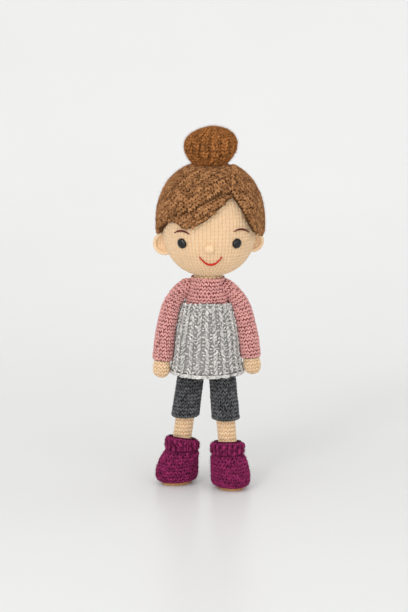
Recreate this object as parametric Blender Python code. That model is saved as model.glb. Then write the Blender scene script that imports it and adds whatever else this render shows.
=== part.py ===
"""A standing crocheted doll: stuffed covers, knitted skirt, boots and thread-jointed arms.

The doll faces -Y and stands on z = 0. Its own left side is at +X.
"""

import math

import bmesh
import bpy
import numpy as np
from mathutils import Vector

MM = 0.001

# Clearances
GAP = 0.3 * MM
OVERRUN = 2 * MM

# Axes of the body and of the head
BODY_X = -0.8 * MM
HEAD_X = 0.7 * MM

# Feet and boots
SOLE_THICK = 2.0 * MM
SOLE_HALF_WIDTH = 8.3 * MM
SOLE_STRETCH_SHARE = 1.3
BOOT_HEIGHT = 27.9 * MM
BOOT_HALF_WIDTH = 12.3 * MM
BOOT_TOE = 4.6 * MM
BOOT_WALL = 1.7 * MM
CUFF_HEIGHT = 8.9 * MM
CUFF_WALL = 1.9 * MM
CUFF_RIBS = 18
CUFF_RIB_DEPTH = 0.5 * MM
INSOLE_THICK = 1.0 * MM
FOOT_HEIGHT = 11.4 * MM

# Each foot: place across, place fore and aft, and the turn of its toe in degrees
LEFT_FOOT = (12.8 * MM, -7.8 * MM, 25)
RIGHT_FOOT = (-17.4 * MM, 3.8 * MM, -50)

# Legs and trousers
LEG_LENGTH = 84.4 * MM
LEG_RADIUS = 7.0 * MM
LEG_WALL = 1.2 * MM
HIP_SPREAD = 9.3 * MM
TROUSER_LENGTH = 38.8 * MM
TROUSER_RADIUS = 9.05 * MM
TROUSER_WALL = 1.45 * MM
SEAT_HEIGHT = 14.8 * MM
SEAT_HALF_WIDTH = 18.2 * MM
SEAT_WALL = 1.6 * MM
LEG_STUFFING_RISE = 9.8 * MM

# Torso, neck and skirt
TORSO_HEIGHT = 40.7 * MM
TORSO_HALF_WIDTH = 16.2 * MM
TORSO_WALL = 1.7 * MM
TORSO_STUFFING_DROP = 3.4 * MM
NECK_SHOWN = 0.8 * MM
NECK_RADIUS = 9.2 * MM
NECK_WALL = 1.4 * MM
NECK_TUCK = 2.4 * MM
NECK_RISE = 3.4 * MM
CORE_RADIUS = 3.6 * MM
CORE_DEPTH = 19.0 * MM
SKIRT_LENGTH = 48.6 * MM
SKIRT_TOP_DROP = 16.0 * MM
SKIRT_HALF_WIDTH = 24.0 * MM
SKIRT_WALL = 1.7 * MM
SKIRT_RIBS = 24
SKIRT_RIB_DEPTH = 0.45 * MM
HEM_HEIGHT = 1.9 * MM

# Arms
SHOULDER_SPREAD = 14.5 * MM
SHOULDER_DROP = 7.2 * MM
SHOULDER_RADIUS = 5.0 * MM
ARM_BOW = 61.2 * MM
LEFT_ARM_DROP = 58.2 * MM
RIGHT_ARM_DROP = 60.7 * MM
ARM_RADIUS = 6.6 * MM
ARM_WALL = 1.3 * MM
HAND_RADIUS = 5.6 * MM
THREAD_RADIUS = 1.2 * MM
THREAD_LENGTH = 3.6 * MM

# Head and face
HEAD_HALF_WIDTH = 31.0 * MM
HEAD_HALF_DEPTH = 29.0 * MM
HEAD_UPPER = 34.5 * MM
HEAD_LOWER = 35.0 * MM
HEAD_WALL = 1.7 * MM
HEAD_POWER = 2.3
NECK_HOLE_RADIUS = 10.8 * MM
EYE_SPREAD = 17.7 * MM
EYE_DROP = 10.1 * MM
EYE_RADIUS = 3.2 * MM
EYE_DOME = 2.2 * MM
EYE_SHANK_RADIUS = 1.2 * MM
EYE_SHANK_LENGTH = 6.0 * MM
WASHER_RADIUS = 3.3 * MM
WASHER_THICK = 1.2 * MM
WASHER_GRIP = 0.6 * MM
NOSE_HALF_WIDTH = 3.0 * MM
NOSE_HALF_HEIGHT = 2.6 * MM
NOSE_DROP = 13.0 * MM
NOSE_RELIEF = 2.2 * MM
THREAD_LINE_RADIUS = 0.65 * MM
MOUTH_HALF_WIDTH = 7.3 * MM
MOUTH_DROP = 18.6 * MM
MOUTH_SAG = 5.6 * MM
MOUTH_SHIFT = 0.9 * MM
BROW_HALF_WIDTH = 4.8 * MM
BROW_SPREAD = 19.3 * MM
BROW_SHIFT = 1.5 * MM
LEFT_BROW_DROP = 2.8 * MM
RIGHT_BROW_DROP = 3.6 * MM
BROW_ARCH = 1.9 * MM

# Each ear: radius, how far it sits inside the head's width, and drop under the head's widest level
LEFT_EAR = (7.0 * MM, 2.9 * MM, 12.2 * MM)
RIGHT_EAR = (7.4 * MM, 2.1 * MM, 13.8 * MM)
EAR_DEPTH = 4.6 * MM
EAR_WALL = 1.7 * MM

# Hair
HAIR_SIDE_THICK = 3.9 * MM
HAIR_FRONT_THICK = 4.9 * MM
HAIR_CROWN_THICK = 5.4 * MM
HAIR_NAPE_DROP = 11.0 * MM
HAIR_POWER = 2.2
HAIR_LIFT = 0.8 * MM
PANEL_THICK = 1.3 * MM
PART_SHIFT = 14.6 * MM
FRINGE_STEP = 0.9 * MM
BUN_BASE_RADIUS = 10.9 * MM
BUN_HALF_WIDTH = 17.6 * MM
BUN_HEIGHT = 25.8 * MM
BUN_WALL = 2.0 * MM
BUN_FOLDS = 16
BUN_FOLD_DEPTH = 1.1 * MM
BUN_LEAN = 1.7 * MM

# Places that follow from the sizes above
HAIR_HALF_WIDTH = HEAD_HALF_WIDTH + HAIR_SIDE_THICK
HAIR_HALF_DEPTH = HEAD_HALF_DEPTH + HAIR_FRONT_THICK
HAIR_UPPER = HEAD_UPPER + HAIR_CROWN_THICK
HAIR_LOWER = HEAD_LOWER + HAIR_NAPE_DROP
NECK_X = (BODY_X + HEAD_X) / 2
BOOT_Z = SOLE_THICK + GAP
BOOT_TOP_Z = BOOT_Z + BOOT_HEIGHT
CUFF_Z = BOOT_TOP_Z + CUFF_WALL / 2 - CUFF_HEIGHT
INSOLE_Z = BOOT_Z + BOOT_WALL + GAP
FOOT_Z = INSOLE_Z + INSOLE_THICK + GAP
ANKLE_Z = FOOT_Z + FOOT_HEIGHT + GAP
HIP_Z = LEG_LENGTH
TROUSER_Z = HIP_Z - TROUSER_LENGTH
SEAT_Z = HIP_Z + GAP
TORSO_Z = SEAT_Z + SEAT_HEIGHT + GAP
COLLAR_Z = TORSO_Z + TORSO_HEIGHT
SKIRT_TOP_Z = COLLAR_Z - SKIRT_TOP_DROP
SKIRT_Z = SKIRT_TOP_Z - SKIRT_LENGTH + HEM_HEIGHT + GAP
HEM_Z = SKIRT_Z - GAP - HEM_HEIGHT
SHOULDER_Z = COLLAR_Z - SHOULDER_DROP
HEAD_Z = COLLAR_Z + NECK_SHOWN + HEAD_LOWER
HAIR_TOP_Z = HEAD_Z + HAIR_UPPER

# Outlines, as shares of the sizes that they follow
TORSO_SHARES = ((0, 1), (0.24, 0.957), (0.45, 0.89), (0.605, 0.81), (0.645, 0.855), (0.69, 0.78),
                (0.75, 0.73), (0.83, 0.705), (0.94, 0.7), (1, 0.65))
TORSO_DEPTH_SHARES = ((0, 0.72), (0.4, 0.86), (0.8, 0.92), (1, 1))
SKIRT_SHARES = ((0, 1), (0.06, 0.975), (0.18, 0.93), (0.28, 0.905), (0.5, 0.868), (0.62, 0.832),
                (0.74, 0.79), (0.83, 0.745), (0.91, 0.69), (1, 0.635))
SKIRT_DEPTH_SHARES = ((0, 0.9), (0.5, 0.9), (1, 0.91))
SEAT_SHARES = ((0, 0.84), (0.1, 0.96), (0.45, 1), (1, 0.9))
SEAT_DEPTH_SHARES = ((0, 0.6), (0.5, 0.64), (1, 0.715))
LEG_SHARES = ((0, 0.83), (0.18, 0.84), (0.42, 0.88), (0.62, 0.97), (1, 1))
TROUSER_SHARES = ((0, 1.01), (0.3, 0.98), (0.7, 0.96), (1, 0.985))
BOOT_SHARES = ((0, 0.84), (0.04, 0.94), (0.12, 1), (0.3, 1), (0.5, 0.975), (0.62, 0.94),
               (0.67, 0.85), (0.71, 0.7), (1, 0.7))
BOOT_STRETCH_SHARES = ((0, 1.2), (0.2, 1.22), (0.4, 1.15), (0.6, 1.04), (0.7, 1), (1, 1))
BOOT_SHIFT_SHARES = ((0, 1), (0.2, 1), (0.45, 0.72), (0.68, 0.1), (0.75, 0), (1, 0))
ARM_PATH_SHARES = ((0, 0, 0), (0.046, 0, -0.038), (0.099, 0, -0.104), (0.137, -0.002, -0.17),
                   (0.163, -0.006, -0.237), (0.194, -0.014, -0.369), (0.222, -0.022, -0.547),
                   (0.239, -0.027, -0.73), (0.249, -0.03, -0.82), (0.262, -0.035, -1))
SLEEVE_SHARES = ((0, 0.758), (0.08, 0.74), (0.16, 0.745), (0.28, 0.79), (0.41, 0.86), (0.55, 0.95),
                 (0.66, 1), (0.74, 0.99), (0.79, 0.97), (0.815, 0.93))
HAND_SHARES = ((0, 0.9), (0.2, 0.97), (0.45, 1), (0.7, 0.93), (0.86, 0.72), (0.96, 0.38), (1, 0))
BUN_SHARES = ((0, 0.63), (0.1, 0.75), (0.25, 0.91), (0.4, 0.99), (0.53, 0.995), (0.69, 0.9), (0.84, 0.68),
              (0.93, 0.4), (1, 0))
EYE_SHARES = ((0, 1), (0.35, 0.95), (0.7, 0.72), (0.92, 0.4), (1, 0))
NOSE_SHARES = ((0, 1), (0.45, 0.88), (0.8, 0.58), (1, 0))
EAR_SHARES = ((0, 0), (0.05, 0.45), (0.3, 0.83), (0.7, 0.98), (1, 1))

# Hems of the hair: azimuth from the front in degrees, and share of the height over the chin
CAP_HEM_SHARES = ((-180, 0.142), (-122, 0.147), (-110, 0.264), (-102, 0.36), (-92, 0.377),
                  (-78, 0.381), (-70, 0.426), (-62, 0.507), (-29, 0.609), (-12, 0.67), (26, 0.775),
                  (30, 0.775), (34, 0.725), (38, 0.68), (44, 0.602), (50.6, 0.5), (56, 0.455), (65, 0.42),
                  (80, 0.392), (95, 0.392), (102, 0.391), (110, 0.264), (122, 0.147), (180, 0.142))
FRINGE_HEM_SHARES = ((-66, 0.441), (-55, 0.502), (-44, 0.517), (-35, 0.482), (-27, 0.462),
                     (-15, 0.497), (-5, 0.538), (10, 0.639), (20, 0.697), (26, 0.732), (30, 0.74))
PANEL_HEM_SHARES = ((27, 0.735), (29.5, 0.735), (34, 0.7), (38, 0.652), (44, 0.568), (50.6, 0.452),
                    (56, 0.41), (65, 0.395), (80, 0.378), (95, 0.378), (104, 0.384))
PANEL_TOP_SHARE = 0.972
FRINGE_START, FRINGE_END = -66, 29
PANEL_START, PANEL_END = 30, 103

# Finishes: colour, roughness
FINISHES = {
    "skin_yarn": ((0.90, 0.66, 0.42), 0.9),
    "hair_yarn": ((0.30, 0.13, 0.05), 0.9),
    "bun_yarn": ((0.35, 0.14, 0.04), 0.95),
    "rose_yarn": ((0.62, 0.24, 0.24), 0.9),
    "grey_yarn": ((0.56, 0.53, 0.49), 0.9),
    "charcoal_yarn": ((0.07, 0.075, 0.08), 0.9),
    "plum_yarn": ((0.26, 0.015, 0.11), 0.9),
    "tan_sole": ((0.58, 0.30, 0.11), 0.75),
    "black_eye": ((0.01, 0.01, 0.01), 0.1),
    "washer_plastic": ((0.75, 0.75, 0.72), 0.4),
    "brow_thread": ((0.13, 0.02, 0.02), 0.7),
    "mouth_thread": ((0.60, 0.04, 0.02), 0.7),
    "stuffing": ((0.85, 0.85, 0.83), 0.95),
    "core_wood": ((0.62, 0.45, 0.28), 0.7),
    "insole_board": ((0.50, 0.42, 0.32), 0.8),
    "joint_thread": ((0.80, 0.78, 0.72), 0.7),
}


def table(shares, at):
    """Smooth value of a table of shares, by a monotone cubic through its points."""
    xs = [p[0] for p in shares]
    ys = [p[1] for p in shares]
    at = min(max(at, xs[0]), xs[-1])
    i = min(int(np.searchsorted(xs, at, side="right")) - 1, len(xs) - 2)
    rise = [(ys[k + 1] - ys[k]) / (xs[k + 1] - xs[k]) for k in range(len(xs) - 1)]

    def slope(k):
        if k == 0:
            return rise[0]
        if k == len(xs) - 1:
            return rise[-1]
        if rise[k - 1] * rise[k] <= 0:
            return 0
        return 2 * rise[k - 1] * rise[k] / (rise[k - 1] + rise[k])

    step = xs[i + 1] - xs[i]
    t = (at - xs[i]) / step
    return (
        (2 * t**3 - 3 * t**2 + 1) * ys[i]
        + (t**3 - 2 * t**2 + t) * step * slope(i)
        + (3 * t**2 - 2 * t**3) * ys[i + 1]
        + (t**3 - t**2) * step * slope(i + 1)
    )


def finish(name):
    """The material of a finish, made once."""
    material = bpy.data.materials.get(name)
    if material:
        return material
    colour, roughness = FINISHES[name]
    material = bpy.data.materials.new(name)
    material.use_nodes = True
    shader = material.node_tree.nodes["Principled BSDF"]
    shader.inputs["Base Color"].default_value = (*colour, 1)
    shader.inputs["Roughness"].default_value = roughness
    shader.inputs["Metallic"].default_value = 0
    material.diffuse_color = (*colour, 1)
    return material


def add_mesh(name, points, faces, finish_name, origin=(0, 0, 0)):
    """A mesh object with its faces turned outwards and its origin at a given place."""
    origin = Vector(origin)
    mesh = bpy.data.meshes.new(name)
    mesh.from_pydata([Vector(p) - origin for p in points], [], faces)
    work = bmesh.new()
    work.from_mesh(mesh)
    bmesh.ops.recalc_face_normals(work, faces=work.faces)
    work.to_mesh(mesh)
    work.free()
    mesh.shade_smooth()
    mesh.set_sharp_from_angle(angle=math.radians(50))
    mesh.materials.append(finish(finish_name))
    obj = bpy.data.objects.new(name, mesh)
    obj.location = origin
    bpy.context.scene.collection.objects.link(obj)
    return obj


def turned(name, outline, sides, place, finish_name, loop=False, origin=(0, 0, 0)):
    """A solid whose outline (station, radius, weight) goes round an axis.

    The outline runs from pole to pole, or is a loop for a ring or a tube.
    """
    points, rings = [], []
    for station, radius, weight in outline:
        pole = not loop and radius <= 0
        count = 1 if pole else sides
        rings.append(list(range(len(points), len(points) + count)))
        for i in range(count):
            points.append(place(station, max(radius, 0), 2 * math.pi * i / sides, weight))
    pairs = list(zip(rings, rings[1:] + rings[:1] if loop else rings[1:]))
    faces = []
    for a, b in pairs:
        for i in range(sides):
            j = (i + 1) % sides
            if len(a) == 1:
                faces.append((a[0], b[i], b[j]))
            elif len(b) == 1:
                faces.append((a[i], b[0], a[j]))
            else:
                faces.append((a[i], b[i], b[j], a[j]))
    return add_mesh(name, points, faces, finish_name, origin)


def inset(outer, wall):
    """The outline (station, radius) moved in by a wall, kept flat at an open end."""
    sign = 1 if outer[-1][0] > outer[0][0] else -1
    inner = []
    for k, (station, radius) in enumerate(outer):
        before, after = outer[max(k - 1, 0)], outer[min(k + 1, len(outer) - 1)]
        along, out = after[0] - before[0], after[1] - before[1]
        open_end = k in (0, len(outer) - 1) and radius > 0
        if open_end:
            along, out = sign, 0
        if k == 0 and radius <= 0:
            along, out = 0, 1
        if k == len(outer) - 1 and radius <= 0:
            along, out = 0, -1
        size = math.hypot(along, out)
        inner.append((station + sign * out / size * wall, radius - sign * along / size * wall))
    return [p for p in inner if p[1] >= 0]


def thinned(outline, step):
    """Every step-th point of an outline, with both of its ends."""
    return [p for k, p in enumerate(outline) if k % step == 0 or k == len(outline) - 1]


def weighted(outline, weight):
    return [(station, radius, weight) for station, radius in outline]


def cup(outer, wall, step=2):
    """Outline of a cover that is closed at its first point and open at its last."""
    inner = thinned(inset(outer, wall), step)
    return weighted(outer, 1) + weighted(inner[::-1], 0)


def pipe(outer, wall, step=2):
    """Outline of a cover that is open at both ends, for a loop."""
    inner = thinned(inset(outer, wall), step)
    return weighted(outer, 1) + weighted(inner[::-1], 0)


def plug(outline):
    """Outline of a solid between two flat or round ends."""
    first, last = outline[0], outline[-1]
    ends = [(first[0], 0)] if first[1] > 0 else []
    tails = [(last[0], 0)] if last[1] > 0 else []
    return weighted(ends + outline + tails, 1)


def shares_outline(shares, start, length, radius, count):
    """Points of a table of shares between two levels."""
    low, high = shares[0][0], shares[-1][0]
    steps = [low + (high - low) * k / (count - 1) for k in range(count)]
    return [(start + length * t, radius * table(shares, t)) for t in steps]


def upright(centre, depth=lambda z: 1, ribs=0, rib_depth=0):
    """Placing of level rings round a centre that may move with height."""

    def place(station, radius, angle, weight):
        radius += weight * rib_depth * math.cos(ribs * angle) if ribs else 0
        x, y = centre(station)
        return Vector((x + radius * math.cos(angle), y + radius * depth(station) * math.sin(angle), station))

    return place


def about(origin, axis, stretch=1):
    """Placing of rings round a straight axis, wider across it by a share."""
    axis = Vector(axis).normalized()
    side = axis.cross(Vector((0, 0, 1))).normalized()
    up = side.cross(axis)

    def place(station, radius, angle, weight):
        across = side * (radius * stretch * math.cos(angle))
        return Vector(origin) + axis * station + across + up * (radius * math.sin(angle))

    return place


def cutter(name, outline, sides, place, loop=False):
    """A tool that is cut out of a piece and is never shown."""
    tool = turned(name, outline, sides, place, "stuffing", loop)
    tool.hide_render = True
    tool.display_type = "WIRE"
    return tool


def cut(obj, tool):
    modifier = obj.modifiers.new(tool.name, "BOOLEAN")
    modifier.operation = "DIFFERENCE"
    modifier.object = tool


def rod(radius, start, end):
    return weighted([(start, 0), (start, radius), (end, radius), (end, 0)], 0)


def ball(radius, count):
    steps = [math.pi * k / count for k in range(count + 1)]
    points = [(-radius * math.cos(a), radius * math.sin(a)) for a in steps]
    points[0], points[-1] = (-radius, 0), (radius, 0)
    return weighted(points, 0)


def body_axis(_station):
    return BODY_X, 0


def neck_axis(_station):
    return NECK_X, 0


def torso_axis(z):
    """Centre of the torso, which leans from the body's axis to the neck's over the shoulders."""
    t = min(max((z - SHOULDER_Z) / (COLLAR_Z - SHOULDER_Z), 0), 1)
    return BODY_X + (NECK_X - BODY_X) * t, 0


# Legs, trousers and boots


def leg_axis(foot):
    """Centre of a leg at a height: straight from the hip to the boot, and upright in it."""
    x, y, _yaw = foot
    hip_x = BODY_X + math.copysign(HIP_SPREAD, x)

    def centre(z):
        t = (HIP_Z - z) / (HIP_Z - BOOT_TOP_Z)
        t = min(max(t, 0), 1)
        return hip_x + (x - hip_x) * t, y * t

    return centre


def boot_share(z):
    return (z - BOOT_Z) / BOOT_HEIGHT


def boot_place(foot, ribs=0, rib_depth=0):
    """Placing of a boot's level rings, drawn out and moved towards the toe."""
    x, y, yaw = foot
    toe = Vector((math.sin(math.radians(yaw)), -math.cos(math.radians(yaw)), 0))
    side = Vector((-toe.y, toe.x, 0))

    def place(station, radius, angle, weight):
        share = boot_share(station)
        radius += weight * rib_depth * math.cos(ribs * angle) if ribs else 0
        stretch = table(BOOT_STRETCH_SHARES, share)
        reach = BOOT_TOE * table(BOOT_SHIFT_SHARES, share) + radius * stretch * math.cos(angle)
        flat = Vector((x, y, 0)) + toe * reach + side * (radius * math.sin(angle))
        return Vector((flat.x, flat.y, station))

    return place


def make_leg(side, foot):
    centre = leg_axis(foot)
    bends = [ANKLE_Z] + [BOOT_TOP_Z + (HIP_Z - BOOT_TOP_Z) * k / 3 for k in range(4)]
    skin = [(z, LEG_RADIUS * table(LEG_SHARES, (z - ANKLE_Z) / (HIP_Z - ANKLE_Z))) for z in bends]
    turned(f"{side}_leg_cover", pipe(skin, LEG_WALL, 1), 14, upright(centre), "skin_yarn", True)

    filling = [(z, r) for z, r in inset(skin, LEG_WALL + GAP)]
    filling[0] = (ANKLE_Z + GAP, filling[0][1])
    top = filling[-1][1]
    filling += [(HIP_Z + LEG_STUFFING_RISE - top / 2, top), (HIP_Z + LEG_STUFFING_RISE, top / 2)]
    turned(f"{side}_leg_stuffing", plug(filling), 10, upright(centre), "stuffing")

    cloth = shares_outline(TROUSER_SHARES, TROUSER_Z, TROUSER_LENGTH, TROUSER_RADIUS, 5)
    turned(f"{side}_trouser_leg", pipe(cloth, TROUSER_WALL), 18, upright(centre), "charcoal_yarn", True)


def make_foot(side, foot):
    place = boot_place(foot)
    shell = [(BOOT_Z + BOOT_HEIGHT * share, BOOT_HALF_WIDTH * size) for share, size in BOOT_SHARES]
    shell = [(BOOT_Z, 0)] + shell
    turned(f"{side}_boot", cup(shell, BOOT_WALL, 1), 22, place, "plum_yarn")

    inner = BOOT_HALF_WIDTH * BOOT_SHARES[-1][1]
    cuff_in = inner + GAP
    lip = CUFF_WALL / 3
    cuff = [(CUFF_Z, cuff_in + CUFF_WALL), (CUFF_Z + CUFF_HEIGHT / 2, cuff_in + CUFF_WALL + lip / 2),
            (CUFF_Z + CUFF_HEIGHT - lip, cuff_in + CUFF_WALL),
            (CUFF_Z + CUFF_HEIGHT, cuff_in + CUFF_WALL / 2)]
    ring = weighted(cuff, 1) + weighted([(CUFF_Z + CUFF_HEIGHT, cuff_in), (CUFF_Z, cuff_in)], 0)
    cuff_place = boot_place(foot, CUFF_RIBS, CUFF_RIB_DEPTH)
    turned(f"{side}_boot_cuff", ring, 2 * CUFF_RIBS, cuff_place, "plum_yarn", True)

    x, y, yaw = foot
    toe = Vector((math.sin(math.radians(yaw)), -math.cos(math.radians(yaw)), 0))
    heel_to_toe = Vector((x, y, 0)) + toe * BOOT_TOE

    def flat(station, radius, angle, _weight):
        across = Vector((-toe.y, toe.x, 0)) * (radius * math.sin(angle))
        along = toe * (radius * SOLE_STRETCH_SHARE * math.cos(angle))
        return heel_to_toe + along + across + Vector((0, 0, station))

    edge = SOLE_THICK / 4
    sole = [(0, SOLE_HALF_WIDTH - edge), (edge, SOLE_HALF_WIDTH), (SOLE_THICK, SOLE_HALF_WIDTH)]
    turned(f"{side}_sole", plug(sole), 20, flat, "tan_sole")
    board = BOOT_HALF_WIDTH * BOOT_SHARES[0][1] - BOOT_WALL - 3 * GAP
    turned(f"{side}_insole", rod(board, INSOLE_Z, INSOLE_Z + INSOLE_THICK), 16, place, "insole_board")

    def boot_room(z):
        size = BOOT_HALF_WIDTH * table(BOOT_SHARES, boot_share(z))
        return size - BOOT_WALL - 2 * GAP

    top = FOOT_Z + FOOT_HEIGHT
    levels = [FOOT_Z + FOOT_HEIGHT * k / 4 for k in range(4)]
    flesh = [(z, boot_room(z) - (BOOT_WALL if z == FOOT_Z else GAP)) for z in levels]
    flesh.append((top, boot_room(top) * LEG_RADIUS / BOOT_HALF_WIDTH))
    turned(f"{side}_foot", plug(flesh), 16, place, "skin_yarn")


# Torso, neck and skirt


def torso_depth(z):
    return table(TORSO_DEPTH_SHARES, (z - TORSO_Z) / TORSO_HEIGHT)


def make_torso():
    seat = shares_outline(SEAT_SHARES, SEAT_Z, SEAT_HEIGHT, SEAT_HALF_WIDTH, 5)
    seat = [(SEAT_Z, 0)] + seat

    def seat_depth(z):
        return table(SEAT_DEPTH_SHARES, (z - SEAT_Z) / SEAT_HEIGHT)

    place = upright(body_axis, seat_depth)
    trousers = turned("trouser_seat", cup(seat, SEAT_WALL, 1), 20, place, "charcoal_yarn")
    for side, sign in (("left", 1), ("right", -1)):
        hole = rod(LEG_RADIUS - GAP, SEAT_Z - OVERRUN, SEAT_Z + SEAT_WALL + OVERRUN)
        place = upright(lambda z, x=BODY_X + sign * HIP_SPREAD: (x, 0))
        cut(trousers, cutter(f"{side}_leg_hole", hole, 16, place))

    chest = [(TORSO_Z + TORSO_HEIGHT * share, TORSO_HALF_WIDTH * size) for share, size in TORSO_SHARES]
    chest[-1] = (COLLAR_Z, NECK_RADIUS + 2 * GAP + TORSO_WALL)
    place = upright(torso_axis, torso_depth)
    bodice = turned("bodice", pipe(chest, TORSO_WALL, 2), 24, place, "rose_yarn", True)

    stuffing_top = COLLAR_Z - NECK_TUCK - GAP
    filling = [(z, r) for z, r in inset(chest, TORSO_WALL + 4 * GAP) if z < stuffing_top - GAP]
    filling[0] = (TORSO_Z - TORSO_STUFFING_DROP, filling[0][1] - SEAT_WALL)
    filling.append((stuffing_top, NECK_RADIUS))
    core = turned("torso_stuffing", plug(filling), 16, upright(torso_axis, torso_depth), "stuffing")
    bore = rod(CORE_RADIUS + GAP, COLLAR_Z - CORE_DEPTH - GAP, COLLAR_Z)
    cut(core, cutter("core_bore", bore, 16, upright(neck_axis)))
    for side, sign in (("left", 1), ("right", -1)):
        shoulder = Vector((BODY_X + sign * SHOULDER_SPREAD, 0, SHOULDER_Z))
        dimple = cutter(f"{side}_dimple", ball(SHOULDER_RADIUS + GAP, 12), 20, about(shoulder, (1, 0, 0)))
        cut(bodice, dimple)
        cut(core, dimple)
        inner = SHOULDER_RADIUS + 2 * GAP + THREAD_LENGTH
        hole = rod(THREAD_RADIUS + GAP, -inner, -SHOULDER_RADIUS + THREAD_RADIUS)
        thread_bore = cutter(f"{side}_thread_bore", hole, 12, about(shoulder, (sign, 0, 0)))
        cut(bodice, thread_bore)
        cut(core, thread_bore)


def make_neck():
    low, high = COLLAR_Z - NECK_TUCK, COLLAR_Z + NECK_SHOWN + NECK_RISE
    sleeve = [(low, NECK_RADIUS), ((low + high) / 2, NECK_RADIUS - GAP / 2), (high, NECK_RADIUS)]
    turned("neck_cover", pipe(sleeve, NECK_WALL, 2), 18, upright(neck_axis), "skin_yarn", True)
    dowel = rod(CORE_RADIUS, COLLAR_Z - CORE_DEPTH, high)
    turned("neck_core", dowel, 16, upright(neck_axis), "core_wood")


def make_skirt():
    height = SKIRT_TOP_Z - SKIRT_Z

    def skirt_depth(z):
        return table(SKIRT_DEPTH_SHARES, (z - SKIRT_Z) / height)

    cloth = shares_outline(SKIRT_SHARES, SKIRT_Z, height, SKIRT_HALF_WIDTH, 9)
    place = upright(body_axis, skirt_depth, SKIRT_RIBS, SKIRT_RIB_DEPTH)
    turned("skirt", pipe(cloth, SKIRT_WALL), 2 * SKIRT_RIBS, place, "grey_yarn", True)

    out, mid = SKIRT_HALF_WIDTH + GAP, HEM_Z + HEM_HEIGHT / 2
    band = weighted([(HEM_Z + HEM_HEIGHT, out - GAP), (mid, out + GAP), (HEM_Z, out - GAP)], 1)
    band += weighted([(HEM_Z, out - SKIRT_WALL), (HEM_Z + HEM_HEIGHT, out - SKIRT_WALL)], 0)
    turned("skirt_hem", band, 2 * SKIRT_RIBS, place, "grey_yarn", True)


# Arms


class Path:
    """A smooth line through given points, followed by its length."""

    def __init__(self, points, steps=12):
        points = [Vector(p) for p in points]
        self.line = [points[0]]
        for k in range(len(points) - 1):
            before = points[max(k - 1, 0)]
            start, end = points[k], points[k + 1]
            after = points[min(k + 2, len(points) - 1)]
            for i in range(1, steps + 1):
                t = i / steps
                self.line.append(
                    0.5 * ((2 * start) + (end - before) * t
                           + (2 * before - 5 * start + 4 * end - after) * t**2
                           + (3 * start - before - 3 * end + after) * t**3))
        self.lengths = [0]
        for a, b in zip(self.line, self.line[1:]):
            self.lengths.append(self.lengths[-1] + (b - a).length)
        self.length = self.lengths[-1]

    def at(self, distance):
        """Point and direction at a distance along the line, straight on past its ends."""
        k = int(np.searchsorted(self.lengths, distance, side="right")) - 1
        k = min(max(k, 0), len(self.line) - 2)
        low, high = self.line[max(k - 1, 0)], self.line[min(k + 2, len(self.line) - 1)]
        heading = (high - low).normalized()
        step = (self.line[k + 1] - self.line[k]) / (self.lengths[k + 1] - self.lengths[k])
        return self.line[k] + step * (distance - self.lengths[k]), heading


def arm_path(sign):
    drop = LEFT_ARM_DROP if sign > 0 else RIGHT_ARM_DROP
    shoulder = Vector((BODY_X + sign * SHOULDER_SPREAD, 0, SHOULDER_Z))
    points = [Vector((sign * x * ARM_BOW, y * ARM_BOW, z * drop)) for x, y, z in ARM_PATH_SHARES]
    return shoulder, Path([shoulder + point for point in points])


def make_arm(side, sign):
    shoulder, path = arm_path(sign)

    def place(station, radius, angle, _weight):
        point, heading = path.at(station)
        across = heading.cross(Vector((0, 1, 0))).normalized()
        front = across.cross(heading)
        return point + across * (radius * math.cos(angle)) + front * (radius * math.sin(angle))

    cap = [math.pi / 2 * k / 4 for k in range(4)]
    dome = [(-SHOULDER_RADIUS * math.cos(a), SHOULDER_RADIUS * math.sin(a)) for a in cap]
    limb = shares_outline(SLEEVE_SHARES, 0, path.length, ARM_RADIUS, 8)
    outer = dome + limb
    turned(f"{side}_sleeve", cup(outer, ARM_WALL, 2), 16, place, "rose_yarn", origin=shoulder)

    wrist = limb[-1][0] + GAP
    mitt = shares_outline(HAND_SHARES, wrist, path.length - wrist, HAND_RADIUS, 7)
    mitt[-1] = (mitt[-1][0], 0)
    shape = cup(mitt[::-1], ARM_WALL, 2)
    turned(f"{side}_hand", shape, 14, place, "skin_yarn", origin=shoulder)

    inside = thinned(inset(outer, ARM_WALL + GAP), 1)
    palm = HAND_RADIUS * HAND_SHARES[0][1] - ARM_WALL - 2 * GAP
    inside = [p for p in inside if p[0] < wrist - HAND_RADIUS / 2]
    inside += [(wrist - HAND_RADIUS / 4, palm), (wrist + HAND_RADIUS / 2, palm),
               (wrist + HAND_RADIUS, palm / 2)]
    turned(f"{side}_arm_stuffing", plug(thinned(inside, 2)), 10, place, "stuffing", origin=shoulder)

    start = SHOULDER_RADIUS + GAP
    thread = rod(THREAD_RADIUS, -start - THREAD_LENGTH, -start)
    turned(f"{side}_arm_thread", thread, 10, about(shoulder, (sign, 0, 0)), "joint_thread", origin=shoulder)


# Head and face

HEAD_CENTRE = Vector((HEAD_X, 0, HEAD_Z))


def reach(direction, half_width, half_depth, upper, lower, power):
    """Distance from the head's centre to a rounded surface along a unit direction."""
    level = math.hypot(direction.x / half_width, direction.y / half_depth)
    rise = abs(direction.z) / (upper if direction.z > 0 else lower)
    return (level**power + rise**power) ** (-1 / power)


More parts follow.
